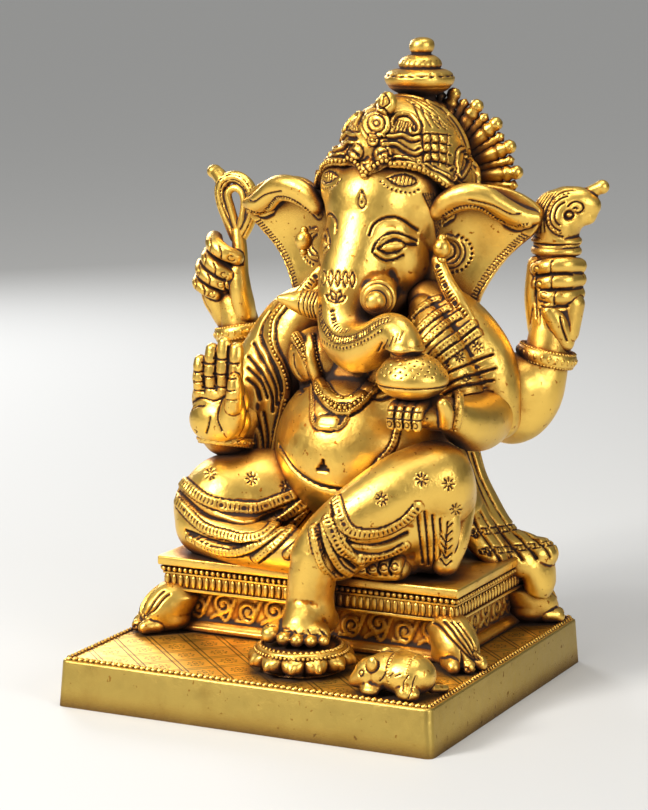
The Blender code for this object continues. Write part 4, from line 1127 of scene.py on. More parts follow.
def buildCrown():
    p = crownSizes
    cx, cy = p["axis"]
    crown = skin("crownCap", [
        ball((10.5, 48, 203), (27, 27, 29.6)), ball((9, 48, 198), (33, 30, 18)),
        ball((8, 38, 213), (18.5, 16.5, 16.5)), ball((18.5, 35, 204), (14, 14, 12)),
        ball((-2.5, 34, 203.5), (13.5, 13.5, 12)), ball((3.4, 23.5, 211.6), (4.2, 3.4, 4)),
        ball((13.6, 23.5, 211.4), (4.2, 3.4, 4)), ball((8.6, 21, 206), (2.6, 2.6, 3.4)),
        ball((12.6, 29, 231), (4, 3.4, 4.6))], p["voxel"], 5)

    def other(points):
        return [(2 * p["mirror"] - x, y, z) for x, y, z in points]
    ring = crownHem + other(crownHem)[::-1]
    co = readShape(crown)[0]
    angle = np.arctan2(co[:, 0] - cx, cy - co[:, 1])
    hemAngle = np.array([math.atan2(x - cx, cy - y) for x, y, z in ring])
    order = np.argsort(hemAngle)
    level = np.interp(angle, hemAngle[order], np.array([q[2] for q in ring])[order], period=fullTurn)
    below = np.clip((level - 0.8 - co[:, 2]) / 0.8, 0, 1)[:, None]
    axis = np.stack([np.full(len(co), cx), np.full(len(co), cy + 2.0), co[:, 2]], 1)
    co += (axis - co) * below * p["tuckIn"]  # the cap's skirt turns in under the hem
    writeShape(crown, co)

    def both(trail):
        return [trail, lay(crown, other(trail[0]), towards=None, curved=False)]

    def rimLine(out, up):
        return lay(crown, [(x, y - out, z + up) for x, y, z in crownHem], 0.8, None)
    for trail in both(rimLine(2, 0.9)):
        press(crown, [trail[0]], 1.3, 1.2, plateau=True)
    for trail in both(rimLine(1, 3.9)):
        press(crown, [trail[0]], 0.9, 1.0)
        press(crown, [trail[0] - np.array([0, 0, 1.3]), trail[0] + np.array([0, 0, 1.6])], 0.4, -0.9)
    trees.pop(crown.name)
    for trail in both(rimLine(3, 0.7)):
        beads(*trail, p["bead"], 2.0, 0.35)

    def motif(y, *points, width=0.9, height=1.0, pitch=0.0, edge=0.0):
        for trail in both(seen(crown, y, *points, step=0.7)):
            press(crown, [trail[0]], width, height, pitch)
            if edge:
                press(crown, [shifted(trail, edge), shifted(trail, -edge)], 0.36, -0.8)

    def roundel(y, centre, radius, rings, lift):
        boss(crown, seen(crown, y, centre, (centre[0] + 0.2, centre[1]))[0][0], radius, lift)
        trees.pop(crown.name)
        for share, height in rings:
            carve(crown, y, [circlePairs(centre, radius * share)], 0.36 if height < 0 else 0.6, height, 0.5)
    roundel(22, (11, 223.8), 6.0, ((1.1, -1.0), (0.92, 0.6), (0.66, -0.8), (0.46, 0.5), (0.22, -0.6)), 1.5)
    roundel(22, (9.5, 216.6), 2.5, ((1.15, -0.8), (0.45, -0.6)), 1.0)
    for x, z in ((3, 212), (14, 211.5)):
        carve(crown, 20, [circlePairs((x, z), 3.6)], 0.36, -0.9, 0.5)
        carve(crown, 20, [((x - 1.8, z + 1), (x, z), (x + 1.6, z - 1.6))], 0.36, -0.6)
    for end in (5.6, 11.4):
        carve(crown, 20, [((end, 208.6), (8.5 + (end - 8.5) * 0.5, 205.4), (8.5, 202.2))], 0.36, -0.9, 0.5)
    carve(crown, 24, [((12.2, 229.6), (9.8, 232), (13.2, 236), (16, 232), (13.4, 229.6))], 0.4, -0.9, 0.5)
    carve(crown, 24, [((12.8, 230.4), (13.2, 234))], 0.36, -0.6)

    motif(26, (15.6, 222), (17.2, 226.3), (21, 228), (24.5, 227.5), (27.8, 224), (27.4, 220.6), (24.6, 219.9),
          (23.8, 222), width=1.0, height=1.2, edge=1.3)
    motif(26, (12, 218), (16.5, 218), (20.5, 219), (24.5, 217.5), (28, 218.6), width=1.0, height=1.1, edge=1.3)
    motif(25, (12.5, 214.6), (18, 215.2), (22, 213.2), (26, 211.8), (29.5, 213.6), width=1.1, height=1.2,
          edge=1.3)
    motif(24, (16, 209.2), (20, 210.2), (25.5, 209.4), (30.5, 207.6), width=0.9, height=1.0, edge=1.1)
    for i in range(8):
        motif(26, (16.8 + i * 1.15, 222.6 - i * 0.15), (17.8 + i * 1.1, 225.4 - i * 0.2), width=0.3,
              height=-0.6)
        motif(26, (13.6 + i * 1.7, 220.2), (14.6 + i * 1.7, 222.0), width=0.3, height=-0.5)
    for i in range(4):  # lattice beside the wing, uprights first
        motif(36, (24.5 + i * 3.9, 218.5 + i * 0.5), (25 + i * 3.4, 206.6), width=0.42, height=-1.0)
    for i in range(4):
        motif(36, (24.6, 218.4 - i * 3.9), (31, 219.2 - i * 3.8), (37.6, 219.6 - i * 4.2), width=0.42,
              height=-1.0)
    for i in range(3):
        for j in range(3):
            for trail in both(seen(crown, 36, (26.6 + i * 3.7, 216.9 - j * 4),
                                   (26.7 + i * 3.7, 216.9 - j * 4))):
                boss(crown, trail[0][0], 1.1, 0.8)
    for i in range(4):  # net over the top of the cap
        motif(42, (15 + i * 2.6, 231.5 + i * 0.4), (22.5 + i * 2.6, 227 + i * 0.4),
              (30 + i * 2.4, 222 + i * 0.2), width=0.36, height=-0.7)
        motif(42, (18 + i * 3.6, 230.5 - i * 1.6), (19.5 + i * 3.6, 226 - i * 1.4), (22 + i * 3.6, 220.5),
              width=0.36, height=-0.7)
    motif(52, (32, 205), (33, 210), (36, 212), (38.6, 209), (37, 203.5), (33.4, 199), (32, 205), width=0.9,
          height=1.0, edge=1.2)
    motif(52, (34, 201), (35.4, 206), (36, 210), width=0.4, height=-0.8)
    motif(48, (30.5, 203), (32.5, 203.8), (34, 200.8), (32, 198), (30.4, 199.6), width=0.8, height=1.0,
          edge=1.1)
    motif(58, (22, 233), (27.6, 225.5), (32.5, 218), (36.2, 211.5), (38.4, 204), (38.5, 195), width=1.5,
          height=1.7)
    motif(58, (20, 232), (25.4, 224.5), (30.4, 217), (34, 210.5), (36.2, 203), (36.4, 195), width=0.42,
          height=-1.0)
    for i in range(p["backPetals"]):
        a = math.radians(100 + i * 26.7)
        low = (cx + 30 * math.sin(a), cy - 27 * math.cos(a), 193)
        high = (cx + 19 * math.sin(a), cy - 16 * math.cos(a), 224)
        press(crown, [lay(crown, [low, high], 1.0, None)[0]], 0.7, -0.9)
    collar = lay(crown, levelRing((11.5, 60, 231), (13.5, 12), 40), 0.8, None)
    press(crown, [collar[0]], 1.0, 1.0)
    finish(crown, "crown", dirt=1.2)
    finish(flushBeads("crownBeads"), dirt=0)
    print("crown done")


finialSizes = {"axis": (11.5, 62.5), "foot": 226.0, "petals": 20, "lean": 0.09,
               "rings": ((13.6, 14.2), (12.6, 10.2), (8.7, 17.2))}  # radius, height


def fluted(angle, waves, depth):
    return 1 - depth * (1 - abs(math.cos(angle * waves)) ** 0.5)


def buildFinial():
    p = finialSizes
    x0, y0 = p["axis"]
    foot = p["foot"]
    profile = [(0.05, 0), (10.6, 0), (11.4, 1.6), (10.4, 3.0), (8.4, 3.6), (7.0, 4.2), (6.5, 5.2), (7.0, 6.2),
               (9.2, 7.2), (12.0, 8.9), (13.9, 11.4), (14.2, 13.6), (13.0, 15.4), (10.8, 16.5), (9.2, 16.9),
               (8.7, 17.6), (8.8, 19.0), (7.7, 20.8), (5.9, 22.0), (4.3, 22.7), (4.1, 23.3), (4.9, 24.6),
               (5.1, 26.3), (4.4, 28.2), (2.4, 29.3), (0.05, 29.6)]
    bm = bmesh.new()
    lathe(bm, [(max(0.04, r), foot + h) for r, h in curveThrough(profile, 0.4)], 144, 0.05, p["axis"])
    for v in bm.verts:
        dx, dy = v.co.x - x0, v.co.y - y0
        r, a, h = math.hypot(dx, dy), math.atan2(dy, dx), v.co.z - foot
        grow = 1.0
        if 13.4 < h < 15.8 and r > 8:
            grow = fluted(a, p["petals"] / 2, 0.030)
        elif h < 4 and r > 8:
            grow = fluted(a, 12, 0.05)
        elif 17.6 < h < 20.5:
            grow = fluted(a, 8, 0.05)
        lean = max(0.0, h - 16) * p["lean"]  # the casting leans a little
        v.co.x, v.co.y = x0 + dx * grow + lean, y0 + dy * grow
    finial = newPiece("crownFinial", bm)
    press(finial, [levelRing((x0, y0, foot + h), (r, r), 60) for r, h in p["rings"]], 0.45, -0.55)
    finish(finial, "crown_finial", dirt=1.0)


fanSizes = {"centre": (13.5, 67.5, 196.5), "wide": 40.0, "high": 38.5, "rays": 25, "first": -8, "last": 188,
            "backing": 1.6, "backingShare": (0.80, 0.45)}


def buildFan():
    p = fanSizes
    x0, y0, z0 = p["centre"]
    bm = bmesh.new()
    for i in range(p["rays"]):
        share = i / (p["rays"] - 1)
        a = math.radians(p["first"] + (p["last"] - p["first"]) * share)
        out = Vector((p["wide"] * math.cos(a), 0, p["high"] * math.sin(a)))
        length, thick = out.length, i % 2 == 0
        if thick:
            tip = [(3.1, -7.6), (2.4, -6.6), (3.3, -5.4), (3.3, -4.2), (2.4, -2.8), (2.9, -1.6), (2.8, 0.2),
                   (1.6, 1.5), (0.04, 1.8)]
            profile = [(0.6, 10), (1.8, 19), (2.5, 26)] + [(r, length + h) for r, h in tip]
        else:
            profile = [(0.6, 10), (1.6, 20)] + [(2.3 if k % 2 else 1.7, 22 + k * (length - 26) / 8)
                    for k in range(9)]
            profile += [(2.4, length - 2.4), (0.04, length - 0.6)]
        rod = bmesh.new()
        lathe(rod, profile, 12, 0.05)
        bmesh.ops.transform(rod, matrix=pointed((x0, y0 + (0.0 if thick else 0.4), z0), out), verts=rod.verts)
        spare = bpy.data.meshes.new("rod")
        rod.to_mesh(spare)
        rod.free()
        bm.from_mesh(spare)
        bpy.data.meshes.remove(spare)
    finish(newPiece("fanRays", bm), "halo_fan", dirt=0)
    outer, inner = [[(x0 + share * p["wide"] * math.cos(a), y0 + 0.6, z0 + share * p["high"] * math.sin(a))
                     for a in np.radians(np.linspace(p["first"], p["last"], 40))]
                    for share in p["backingShare"]]
    plate = bmesh.new()
    thicken(plate, outer + inner[::-1], (0, p["backing"], 0))
    finish(newPiece("fanBacking", plate), dirt=0, smooth=False)
    print("fan done")


def creases(piece, lines, width=0.45, depth=-0.5, towards=ahead):  # lines drawn on a hand or a foot
    press(piece, [lay(piece, line, 0.5, towards, 12)[0] for line in lines], width, depth)


armSizes = {"voxel": 0.66, "blend": 1.6, "dirt": 0.9}
armPaths = {
    "frontRight": [(-28, 42, 130, 11), (-40, 28, 112, 10.5), (-46, 14, 99, 10.4), (-47.5, 5, 97, 9.6),
                   (-47.5, 0, 101, 9.0)],
    "rearRight": [(-32, 46, 130, 11), (-50, 52, 116, 10.5), (-60, 54, 115, 9.8), (-65.5, 55, 123, 9.2),
                  (-67.5, 55.5, 133, 8.4), (-70.5, 56.5, 142, 7.8)],
    "frontLeft": [(45, 38, 124, 13), (53, 32, 112, 13.6), (56.5, 20, 108.5, 12.4), (57.5, 6, 110, 10.2),
                  (57, -5, 114, 7.4), (53, -9, 116, 6.8)],
    "rearLeft": [(42, 44, 132, 13), (54, 46, 116, 14.6), (60, 47, 108.5, 14), (68, 48.5, 114.5, 12),
                 (72, 50.5, 126, 9.8), (73, 52, 136, 8.8), (74, 54, 146, 8.6)],
}
elbows = {"frontLeft": [ball((56, 40, 112), (12, 10, 12))],
          "rearLeft": [ball((63, 46, 118), 14), ball((58, 42, 108), (14, 12, 11))]}


def buildArms():
    p = armSizes
    for place, node in (("frontRight", "front_right_arm"), ("rearRight", "rear_right_arm"),
                        ("frontLeft", "front_left_arm"), ("rearLeft", "rear_left_arm")):
        thick = place in elbows
        arm = skin("arm" + place[0].upper() + place[1:], [limb(*armPaths[place]), *elbows.get(place, [])],
                   p["voxel"], 4 if thick else 5, p["blend"] if thick else 0.0)
        if place == "rearLeft":  # the hollow of the elbow
            press(arm, [lay(arm, [(57, 20, 133), (61, 20, 120), (62, 20, 106)], 1.0, ahead, 30)[0]], 1.0, -1.2)
        finish(arm, node, dirt=p["dirt"])
    print("arms done")


handSizes = {"voxel": 0.42, "gripVoxel": 0.45, "smallVoxel": 0.38, "dirt": 1.1}
raisedFingers = ((-54.0, 115, 14.0, 3.1), (-48.6, 116, 18.0, 3.2), (-43.0, 116.5, 20.5, 3.3),
                 (-37.6, 116.5, 18.5, 3.1))
nooseFingers = [((-80, 56, 169.6), (-76.5, 49.5, 168.2), (-70.8, 47.2, 165.4), (-66, 49.5, 163.0), 3.7),
                ((-83, 57, 163.2), (-79.6, 50, 161.6), (-74, 47.4, 158.4), (-69.4, 48.4, 155.8), 3.2),
                ((-87, 58, 158.2), (-83, 50.6, 156.6), (-77, 47.8, 153.6), (-71.4, 48.6, 151.4), 3.0),
                ((-88.4, 58, 152.2), (-85, 51, 150.8), (-80, 48.6, 148.6), (-76, 49.4, 147), 2.8)]
goadFingers = [((83.6, 57, 167.0), (81, 50.4, 167.8), (75, 47.8, 167.4), (69.0, 49, 166), 3.4),
               ((83.6, 57, 161.6), (81.2, 50.2, 161.8), (75.4, 47.6, 161.2), (70.2, 48.6, 160), 3.4),
               ((83.2, 57, 156), (81, 50.6, 155.6), (76.6, 47.8, 155.2), (72.6, 47.6, 156), 3.3)]
sweetFingers = (38.8, 42.4, 46.0, 49.6)


def gripping(fingers, *shares):  # fingers bent at their four stations
    return [limb(*[(*spot, r * share) for spot, share in zip(finger, shares)]) for *finger, r in fingers]


def fingerGaps(piece, fingers, aside):
    for upper, lower in zip(fingers, fingers[1:]):
        gap = [((a[0] + b[0]) / 2 - aside, 40, (a[2] + b[2]) / 2) for a, b in zip(upper[:4], lower[:4])]
        creases(piece, [gap], 0.42, -0.9)


def buildHands():
    p = handSizes
    fingers = raisedFingers
    blessing = skin("handBlessing", [
        ball((-46.6, -1.5, 112), (12.8, 6.8, 12)), ball((-46.4, -2.5, 104), (13.4, 8.6, 10.4)),
        ball((-38.8, -6.5, 107), (5.6, 4.8, 9.6), (0, 6, 0)),
        limb((-37, -8.6, 111, 3.8), (-35.9, -9.6, 118, 3.3), (-36, -9.6, 122.4, 2.7)),
        *[limb((x, -4.8, z, r * 1.05), (x + 0.3, -5.6, z + tall * 0.30, r * 0.95),
               (x + 0.4, -6.0, z + tall * 0.40, r * 1.05), (x + 0.5, -6.0, z + tall * 0.68, r * 0.92),
               (x + 0.5, -5.8, z + tall * 0.78, r), (x + 0.5, -5.4, z + tall - 1, r * 0.92))
          for x, z, tall, r in fingers]], p["voxel"], 3)
    palmLines = [inPlane(-14, (-58.6, 110.6), (-52, 113.4), (-46, 112.8), (-41, 115)),
                 inPlane(-14, (-58.4, 107.6), (-54, 110), (-50.5, 110.6)),
                 inPlane(-14, (-46.6, 106.5), (-47.2, 103), (-48.6, 99.8)),
                 inPlane(-14, (-42.6, 113.4), (-43.4, 107), (-41.6, 101.4)),
                 [(-58.6, -14, 97.6), (-47, -16, 95.4), (-36, -14, 97.6)]]
    creases(blessing, palmLines, 0.45, -0.75)
    for x, z, tall, r in fingers:
        rows = [z + tall * share for share in (0.10, 0.36, 0.66)]
        bends = [inPlane(-14, (x - r + 0.3, row), (x + 0.3, row - 0.3), (x + r + 0.1, row)) for row in rows]
        creases(blessing, bends, 0.42, -0.7)
    for (x, z, tall, r), after in zip(fingers, fingers[1:]):  # the dark gaps between fingers
        gap = (x + after[0]) / 2 + 0.4
        creases(blessing, [[(gap, -14, z + 1.0), (gap, -14, z + tall * 0.9)]], 0.36, -0.9)
    creases(blessing, [[(-38.6, -16, 114.4), (-34, -16, 114.4)]], 0.4, -0.5)
    finish(blessing, "front_right_hand", dirt=p["dirt"])

    fist = skin("handWithNoose", [
        ball((-78, 57, 153.5), (9.4, 7.4, 12.5)),
        limb((-72.5, 56, 158, 7.5), (-78, 57, 148, 8.2), (-75.5, 57, 141, 7.4), (-70.5, 56.5, 134, 7.0)),
        *gripping(nooseFingers, 1, 1.05, 0.96, 0.86),
        limb((-68.4, 55.4, 173, 3.0), (-67, 54, 166, 3.4), (-66.4, 52.6, 157, 4.0)),
        limb((-66.6, 52, 157, 4.2), (-65.4, 51.5, 149, 4.8), (-64.5, 53, 141, 5.0), (-66, 55, 134, 5.4))],
                p["gripVoxel"], 3)
    for root, first, second, tip, r in nooseFingers:
        for x, y, z in (first, second):
            creases(fist, [inPlane(40, (x - 0.8, z + r * 0.8), (x + 0.4, z), (x - 0.4, z - r * 0.8))], 0.36,
                    -0.6)
        creases(fist, [circleLine((tip[0] - 0.6, 40, tip[2]), 1.3, 60, 330, count=10)], 0.3, -0.4)
    fingerGaps(fist, nooseFingers, 0.6)
    creases(fist, [inPlane(40, (-70.4, 154), (-70, 146), (-68.6, 138)),
                   inPlane(40, (-84, 148), (-82, 143), (-80, 139.6))],
            0.5, -0.8)
    finish(fist, "rear_right_hand", dirt=p["dirt"])

    grip = skin("handWithGoad", [
        ball((74.4, 58, 158), (10.6, 7.6, 14)), limb((73.2, 53, 134, 8.6), (74.0, 54.5, 146, 9.6),
            (74.6, 55.5, 156, 9.4)),
        limb((68.6, 52.6, 142, 4.6), (67.4, 52, 154, 4.6), (67.6, 52.4, 167, 4.0)),
        limb((80.6, 53, 141, 5.0), (82.6, 54, 152, 4.8)), *gripping(goadFingers, 1, 1.03, 0.97, 0.85),
        limb((79.4, 52, 137, 4.6), (78.4, 49, 144, 4.6), (75.2, 47.2, 149.8, 3.6))], p["gripVoxel"], 3)
    for root, first, (x, y, z), tip, r in goadFingers:
        creases(grip, [inPlane(40, (x + 1.5, z + r * 0.8), (x + 1.1, z - r * 0.8))], 0.36, -0.6)
        creases(grip, [circleLine((tip[0] + 0.8, 40, tip[2]), 1.4, 30, 300, count=10)], 0.3, -0.4)
    fingerGaps(grip, goadFingers, 0)
    creases(grip, [inPlane(40, (82, 151.6), (76.4, 151.8), (72.4, 151.6)),
                   inPlane(40, (73.4, 138), (73, 144), (71.6, 150)),
                   inPlane(40, (80.6, 147.6), (81.8, 142), (82.6, 138)),
                   inPlane(40, (69.6, 164), (69.2, 155), (70.4, 147))],
            0.5, -0.8)
    finish(grip, "rear_left_hand", dirt=p["dirt"])

    tips = sweetFingers
    offering = skin("handUnderSweet", [
        ball((46.5, -10, 116), (11.6, 8.6, 6.2)), limb((57, -6.5, 115, 6.6), (51, -9.5, 116, 7.2)),
        *[limb((x, -15, 119.8, 2.1), (x - 0.4, -19.8, 118.8, 2.2), (x - 0.8, -21.6, 115, 2.15),
               (x - 0.9, -21, 111.8, 1.9))
          for x in tips],
        limb((56.6, -12, 112.8, 3.2), (58.2, -15.4, 117.4, 3.1), (57.8, -17.6, 121, 2.5))], p["smallVoxel"], 2)
    creases(offering, [[(x - 2.2, -28, z), (x + 1.6, -28, z)] for x in tips for z in (118, 114.8)], 0.34, -0.5)
    creases(offering, [circleLine((x - 0.9, -28, 112.6), 1.1, 0, 360, count=10) for x in tips], 0.28, -0.5)
    gaps = [inPlane(-28, ((a + b) / 2 - 0.6, 119.4), ((a + b) / 2 - 0.8, 111)) for a, b in zip(tips, tips[1:])]
    creases(offering, gaps, 0.36, -0.9)
    finish(offering, "front_left_hand", dirt=p["dirt"])
    print("hands done")


heldSizes = {"sweet": (43.5, -14.4, 130.0), "sweetVoxel": 0.42, "pricks": 110, "nooseVoxel": 0.4,
             "goadVoxel": 0.42, "goadEye": (81.4, 187.6), "collarLevels": (172.6, 176.6)}
goldenAngle = math.pi * (3 - math.sqrt(5))
ropes = [[(-70, 56, 171, 2.7), (-73.8, 56.5, 178.2, 2.6), (-76.9, 57, 184.8, 2.6), (-77.8, 57.5, 191, 2.7),
          (-75, 58, 195, 2.7), (-70, 58, 196, 2.7), (-65, 57.6, 193.2, 2.7), (-62, 57, 187.6, 2.7),
          (-62, 56.4, 182, 2.7), (-64, 56, 176.4, 2.7), (-67.4, 55.6, 170.6, 2.7)],
         [(-68.4, 55, 174, 1.7), (-71.6, 55.6, 182.9, 1.7), (-73.4, 56, 189, 1.7), (-70.4, 56.4, 191.6, 1.7),
          (-66.8, 56.2, 189.6, 1.7), (-65.6, 55.6, 184.8, 1.7), (-66.2, 55, 179.2, 1.7),
          (-67.6, 54.8, 174, 1.7)]]


def buildSweet():
    p = heldSizes
    x, y, z = p["sweet"]
    sweet = skin("sweetBall",
                 [ball((x, y, z - 0.6), (14.4, 13, 8.4)), ball((x, y, z + 1.4), (12.8, 11.8, 8.0))],
                 p["sweetVoxel"], 6)
    press(sweet, [lay(sweet, levelRing((x, y, z - 3.4), (15, 13.6), 50), 0.8, None)[0]], 0.5, -0.5)
    pricks = []
    for i in range(p["pricks"]):
        a, h = goldenAngle * i, 0.16 + 0.82 * ((i + 0.5) / p["pricks"])
        r = math.sqrt(1 - h * h)
        spot = [(x + 15 * r * math.cos(a), y + 14 * r * math.sin(a), z + 10 * h)]
        pricks.append(lay(sweet, spot * 2, 1, None, curved=False)[0] + np.array([[0, 0, 0], [0.05, 0, 0]]))
    press(sweet, pricks, 0.36, -0.5)
    finish(sweet, "modak", dirt=1.0)


def buildNoose():
    noose = skin("nooseRopes", [
        limb(*ropes[0]), limb(*ropes[1]), limb((-76.6, 58, 193.8, 3.4), (-80, 60, 196.4, 3.2),
            (-82, 61, 197.4, 3.0)),
        ball((-82.6, 61.2, 197.6), (3.3, 3.2, 3.0))], heldSizes["nooseVoxel"], 3)
    rope = lay(noose, [(x, y - 3, z) for x, y, z, r in ropes[0]], 0.8, ahead, 14)
    press(noose, [shifted(rope, 1.3), shifted(rope, -1.3)], 0.36, -0.7)
    finish(noose, "noose", dirt=1.1)


def buildGoad():
    p = heldSizes
    collar = [limb(*[(*spot, 1.9) for spot in levelRing((74, 57, z), (8.6, 6.8), 22)])
              for z in p["collarLevels"]]
    goad = skin("goadHead", [
        limb((74, 57, 172, 8.2), (74, 57, 176, 8.6), (74, 57.4, 183, 9.6)),
        ball((74.5, 58, 187), (11, 8.2, 10.2)), limb((77, 59, 191, 7.4), (82.4, 61, 191.4, 6.6),
            (86.4, 62, 190.6, 4.4)), ball((84.6, 61, 186.4), (4.6, 4.6, 3.8))],
                p["goadVoxel"], 3, 1.0,
                [limb((84.4, 62.4, 195, 2.7), (89.2, 64, 197.6, 2.7)),
                 ball((90.2, 64.2, 198), (2.9, 2.9, 2.9)), *collar])

    def trail(points, step=0.6, reach=40):
        return lay(goad, points, step, ahead, reach)
    press(goad, [trail([(64, 46, 175.6), (74, 44, 175.6), (84, 46, 175.6)], 0.7, 20)[0]], 0.5, -0.9)
    mane = (80.5, 40, 188)
    for k, r in enumerate((8.6, 6.6, 4.6)):  # curled mane round the eye
        press(goad, [trail(circleLine(mane, r, 85 + k * 12, 262 - k * 10, 16, 1.05))[0]], 0.42, -0.9)
    dots(goad, trail(circleLine(mane, 7.6, 95, 255, 14, 1.05)), 1.9, 0.5, -0.7)
    eyeX, eyeZ = p["goadEye"]
    press(goad, [trail(circleLine((eyeX, 40, eyeZ), 1.5), 0.5)[0]], 0.7, -1.2)
    press(goad, [trail(curl((83.6, 40, 190), 3.0, 1.2, 160, -1), 0.5)[0]], 0.45, -0.8)
    ruff = between(inPlane(40, (70, 195), (66.4, 187), (66.4, 180)),
                   inPlane(40, (74.5, 196), (71.6, 188), (72, 181)), 4)
    press(goad, [trail(line)[0] for line in ruff], 0.42, -0.7)
    finish(goad, "goad", dirt=1.1)
    print("held things done")


bangles = {  # node: centre, ring radius, bar radius, axis, beads round it
    "bangle_front_right": ((-46.8, 3.0, 94.6), 10.4, 1.7, (0.02, 0.2, 1), 24),
    "bangle_rear_right": ((-67.2, 55.3, 131.0), 9.6, 2.7, (-0.2, 0.06, 1), 24),
    "bangle_front_left": ((58.0, -5.6, 116.2), 7.0, 1.6, (-0.85, -0.5, 0.12), 20),
    "bangle_rear_left": ((72.4, 52.0, 131.0), 10.2, 2.9, (0.2, 0.1, 1), 26),
}


def buildBangles():
    for node, (centre, radius, bar, axis, count) in bangles.items():
        bm = bmesh.new()

        def stud(turn, out, lift, shape):
            spot = Matrix.Rotation(turn, 4, "Z") @ Matrix.Translation((radius + out, 0, lift))
            bmesh.ops.create_icosphere(bm, subdivisions=1, radius=1,
                                       matrix=spot @ Matrix.Diagonal((*shape, 1)))
        section = Matrix.Rotation(math.pi / 2, 4, "X") @ Matrix.Diagonal((0.75, 1.15, 1, 1))
        ring = bmesh.ops.create_circle(bm, segments=12, radius=bar,
                                       matrix=Matrix.Translation((radius, 0, 0)) @ section)["verts"]
        edges = list({e for v in ring for e in v.link_edges})
        bmesh.ops.spin(bm, geom=ring + edges, cent=(0, 0, 0), axis=(0, 0, 1), angle=fullTurn, steps=64,
                       use_merge=True)
        bmesh.ops.remove_doubles(bm, verts=bm.verts, dist=0.02)
        for i in range(count):
            stud(fullTurn * i / count, bar * 0.66, 0, (0.62, radius * 2.3 / count, bar * 0.5))
        for end in (-1, 1):
            for i in range(count * 2):
                stud(math.pi * i / count, bar * 0.30, end * bar * 0.92, [bar * 0.24] * 3)
        bmesh.ops.transform(bm, matrix=pointed(centre, axis), verts=bm.verts)
        finish(newPiece(node.replace("bangle_", "armRing_"), bm), node, dirt=0)
    print("bangles done")


legSizes = {"voxel": 0.58, "blend": 1.6, "ribs": 1.8, "kneeFolds": 5}


def buildLegs():
    p = legSizes
    right = skin("legFolded", [
        limb((-4, 32, 74, 21), (-28, 14, 71.5, 21.5), (-44, 2, 69.5, 20.5)),
        ball((-50, -2, 67.5), (16.5, 16, 16.5)), limb((-50, -6, 62, 14), (-34, -13, 58.5, 11),
            (-14, -17, 57.5, 9.5), (8, -17.5, 57, 9.2), (24, -15, 57, 7.5))], p["voxel"], 4, p["blend"])
    folds = [((-62, 78), (-52, 72.5), (-43.5, 70.5), (-36, 70), (-28.5, 70.2), (-21, 73), (-12, 77)),
             ((-64, 70), (-52, 61), (-41, 58.8), (-33.5, 58.2), (-25.5, 60.5), (-18, 66), (-11, 71),
              (-3.5, 77.5)),
             ((-58, 55.5), (-48, 52.2), (-39.5, 51.8), (-32, 54), (-25.5, 57.5), (-17, 63)),
             ((-28, 50.6), (-18, 58.6), (-10.5, 66.3), (-4.5, 73.6), (1.5, 80)),
             ((-14, 54), (-6, 62), (1, 70), (7, 77.5))]
    trails = [seen(right, -6, *line) for line in folds]
    for trail, width in zip(trails, (4.4, 4.0, 3.2, 3.2, 3.0)):
        hem(right, trail, width, p["ribs"], 1.2)
    for line in (((-64, 74.5), (-52, 66.5), (-41, 64.6), (-33, 64.4), (-25, 66.5), (-17, 70)),
                 ((-60, 58.4), (-48, 55.8), (-40, 55.2), (-31, 56.4), (-22, 60.4), (-13, 67.5))):
        carve(right, -6, [line], 0.8, -1.6)
    for line in (((-22, 54), (-14, 61), (-7, 69), (-1, 77)), ((-8, 54.5), (-2, 61), (5, 70), (10, 77))):
        carve(right, -8, [line], 0.7, -1.4)
    rosette(right, [(-24.5, -18, 84.5), (-46, -12, 84), (-12, -12, 81.5)])
    finish(right, "right_leg", dirt=1.05)

    left = skin("legRaised", [
        limb((20, 32, 74, 21), (37, 14, 77, 19.5), (48, -3, 84, 16.8), (51, -9, 88, 15.8)),
        limb((51, -10, 89.6, 15.8), (42, -18, 86.5, 14.8), (33, -25, 80.5, 13.6), (24, -30, 73.5, 12.4),
             (16, -33, 66, 11.2), (12, -34.5, 60, 10.0)),
        limb((50, -10, 74, 11), (38, -19, 71, 11), (27, -25, 66, 10.5), (19, -30, 60, 9.5)),
        ball((47.5, 0, 68), (12.5, 19, 18)), limb((24, -18, 62, 8), (38, -10, 60, 10))], p["voxel"], 4,
                p["blend"])
    bands = [((17.5, 83), (19.4, 77.5), (21.5, 73.2), (25, 70.6), (32.5, 70.4), (40, 72.8), (47, 77),
              (52, 82)),
             ((14.2, 75), (16.5, 69), (19.5, 63.6), (24, 61.2), (32, 60.8), (40, 62.8), (47, 66.5)),
             ((17.5, 75), (20.3, 68), (24, 62.5), (28.5, 58.5)),
             ((12.5, 73), (14.2, 65), (18.5, 57.2), (23.5, 53.6)),
             ((7.5, 70.5), (9.4, 62.5), (12, 56), (16.5, 51.5))]
    for line, width in zip(bands, (4.2, 3.6, 2.8, 2.8, 2.8)):
        hem(left, seen(left, -28, *line), width, p["ribs"], 1.1)
    for line in (((15.5, 81), (17.2, 74.5), (20, 69), (24.4, 66.2), (32, 65.8), (40, 67.8), (48, 72)),
                 ((9.8, 72.5), (12.2, 64), (15.6, 56.4), (20.5, 52.2)),
                 ((15.6, 74), (17.8, 66.4), (21.4, 60), (26, 56))):
        carve(left, -28, [line], 0.7, -1.5)
    for i in range(p["kneeFolds"]):
        carve(left, -18, [((47 + i * 3.4, 80 - i * 1.2), (48.5 + i * 3.2, 70 - i),
                           (50 + i * 2.6, 58 - i * 0.5))], 0.5, -0.9)
    rosette(left, [(32, -18, 82.5), (49, -18, 91.5), (60.5, -18, 90.5), (64, -18, 80.5)])
    finish(left, "left_leg", dirt=1.0)
    print("legs done")


footSizes = {"plantedVoxel": 0.46, "tuckedVoxel": 0.42, "toeGap": 4.2, "nailDip": (0, 0.5, -0.87)}


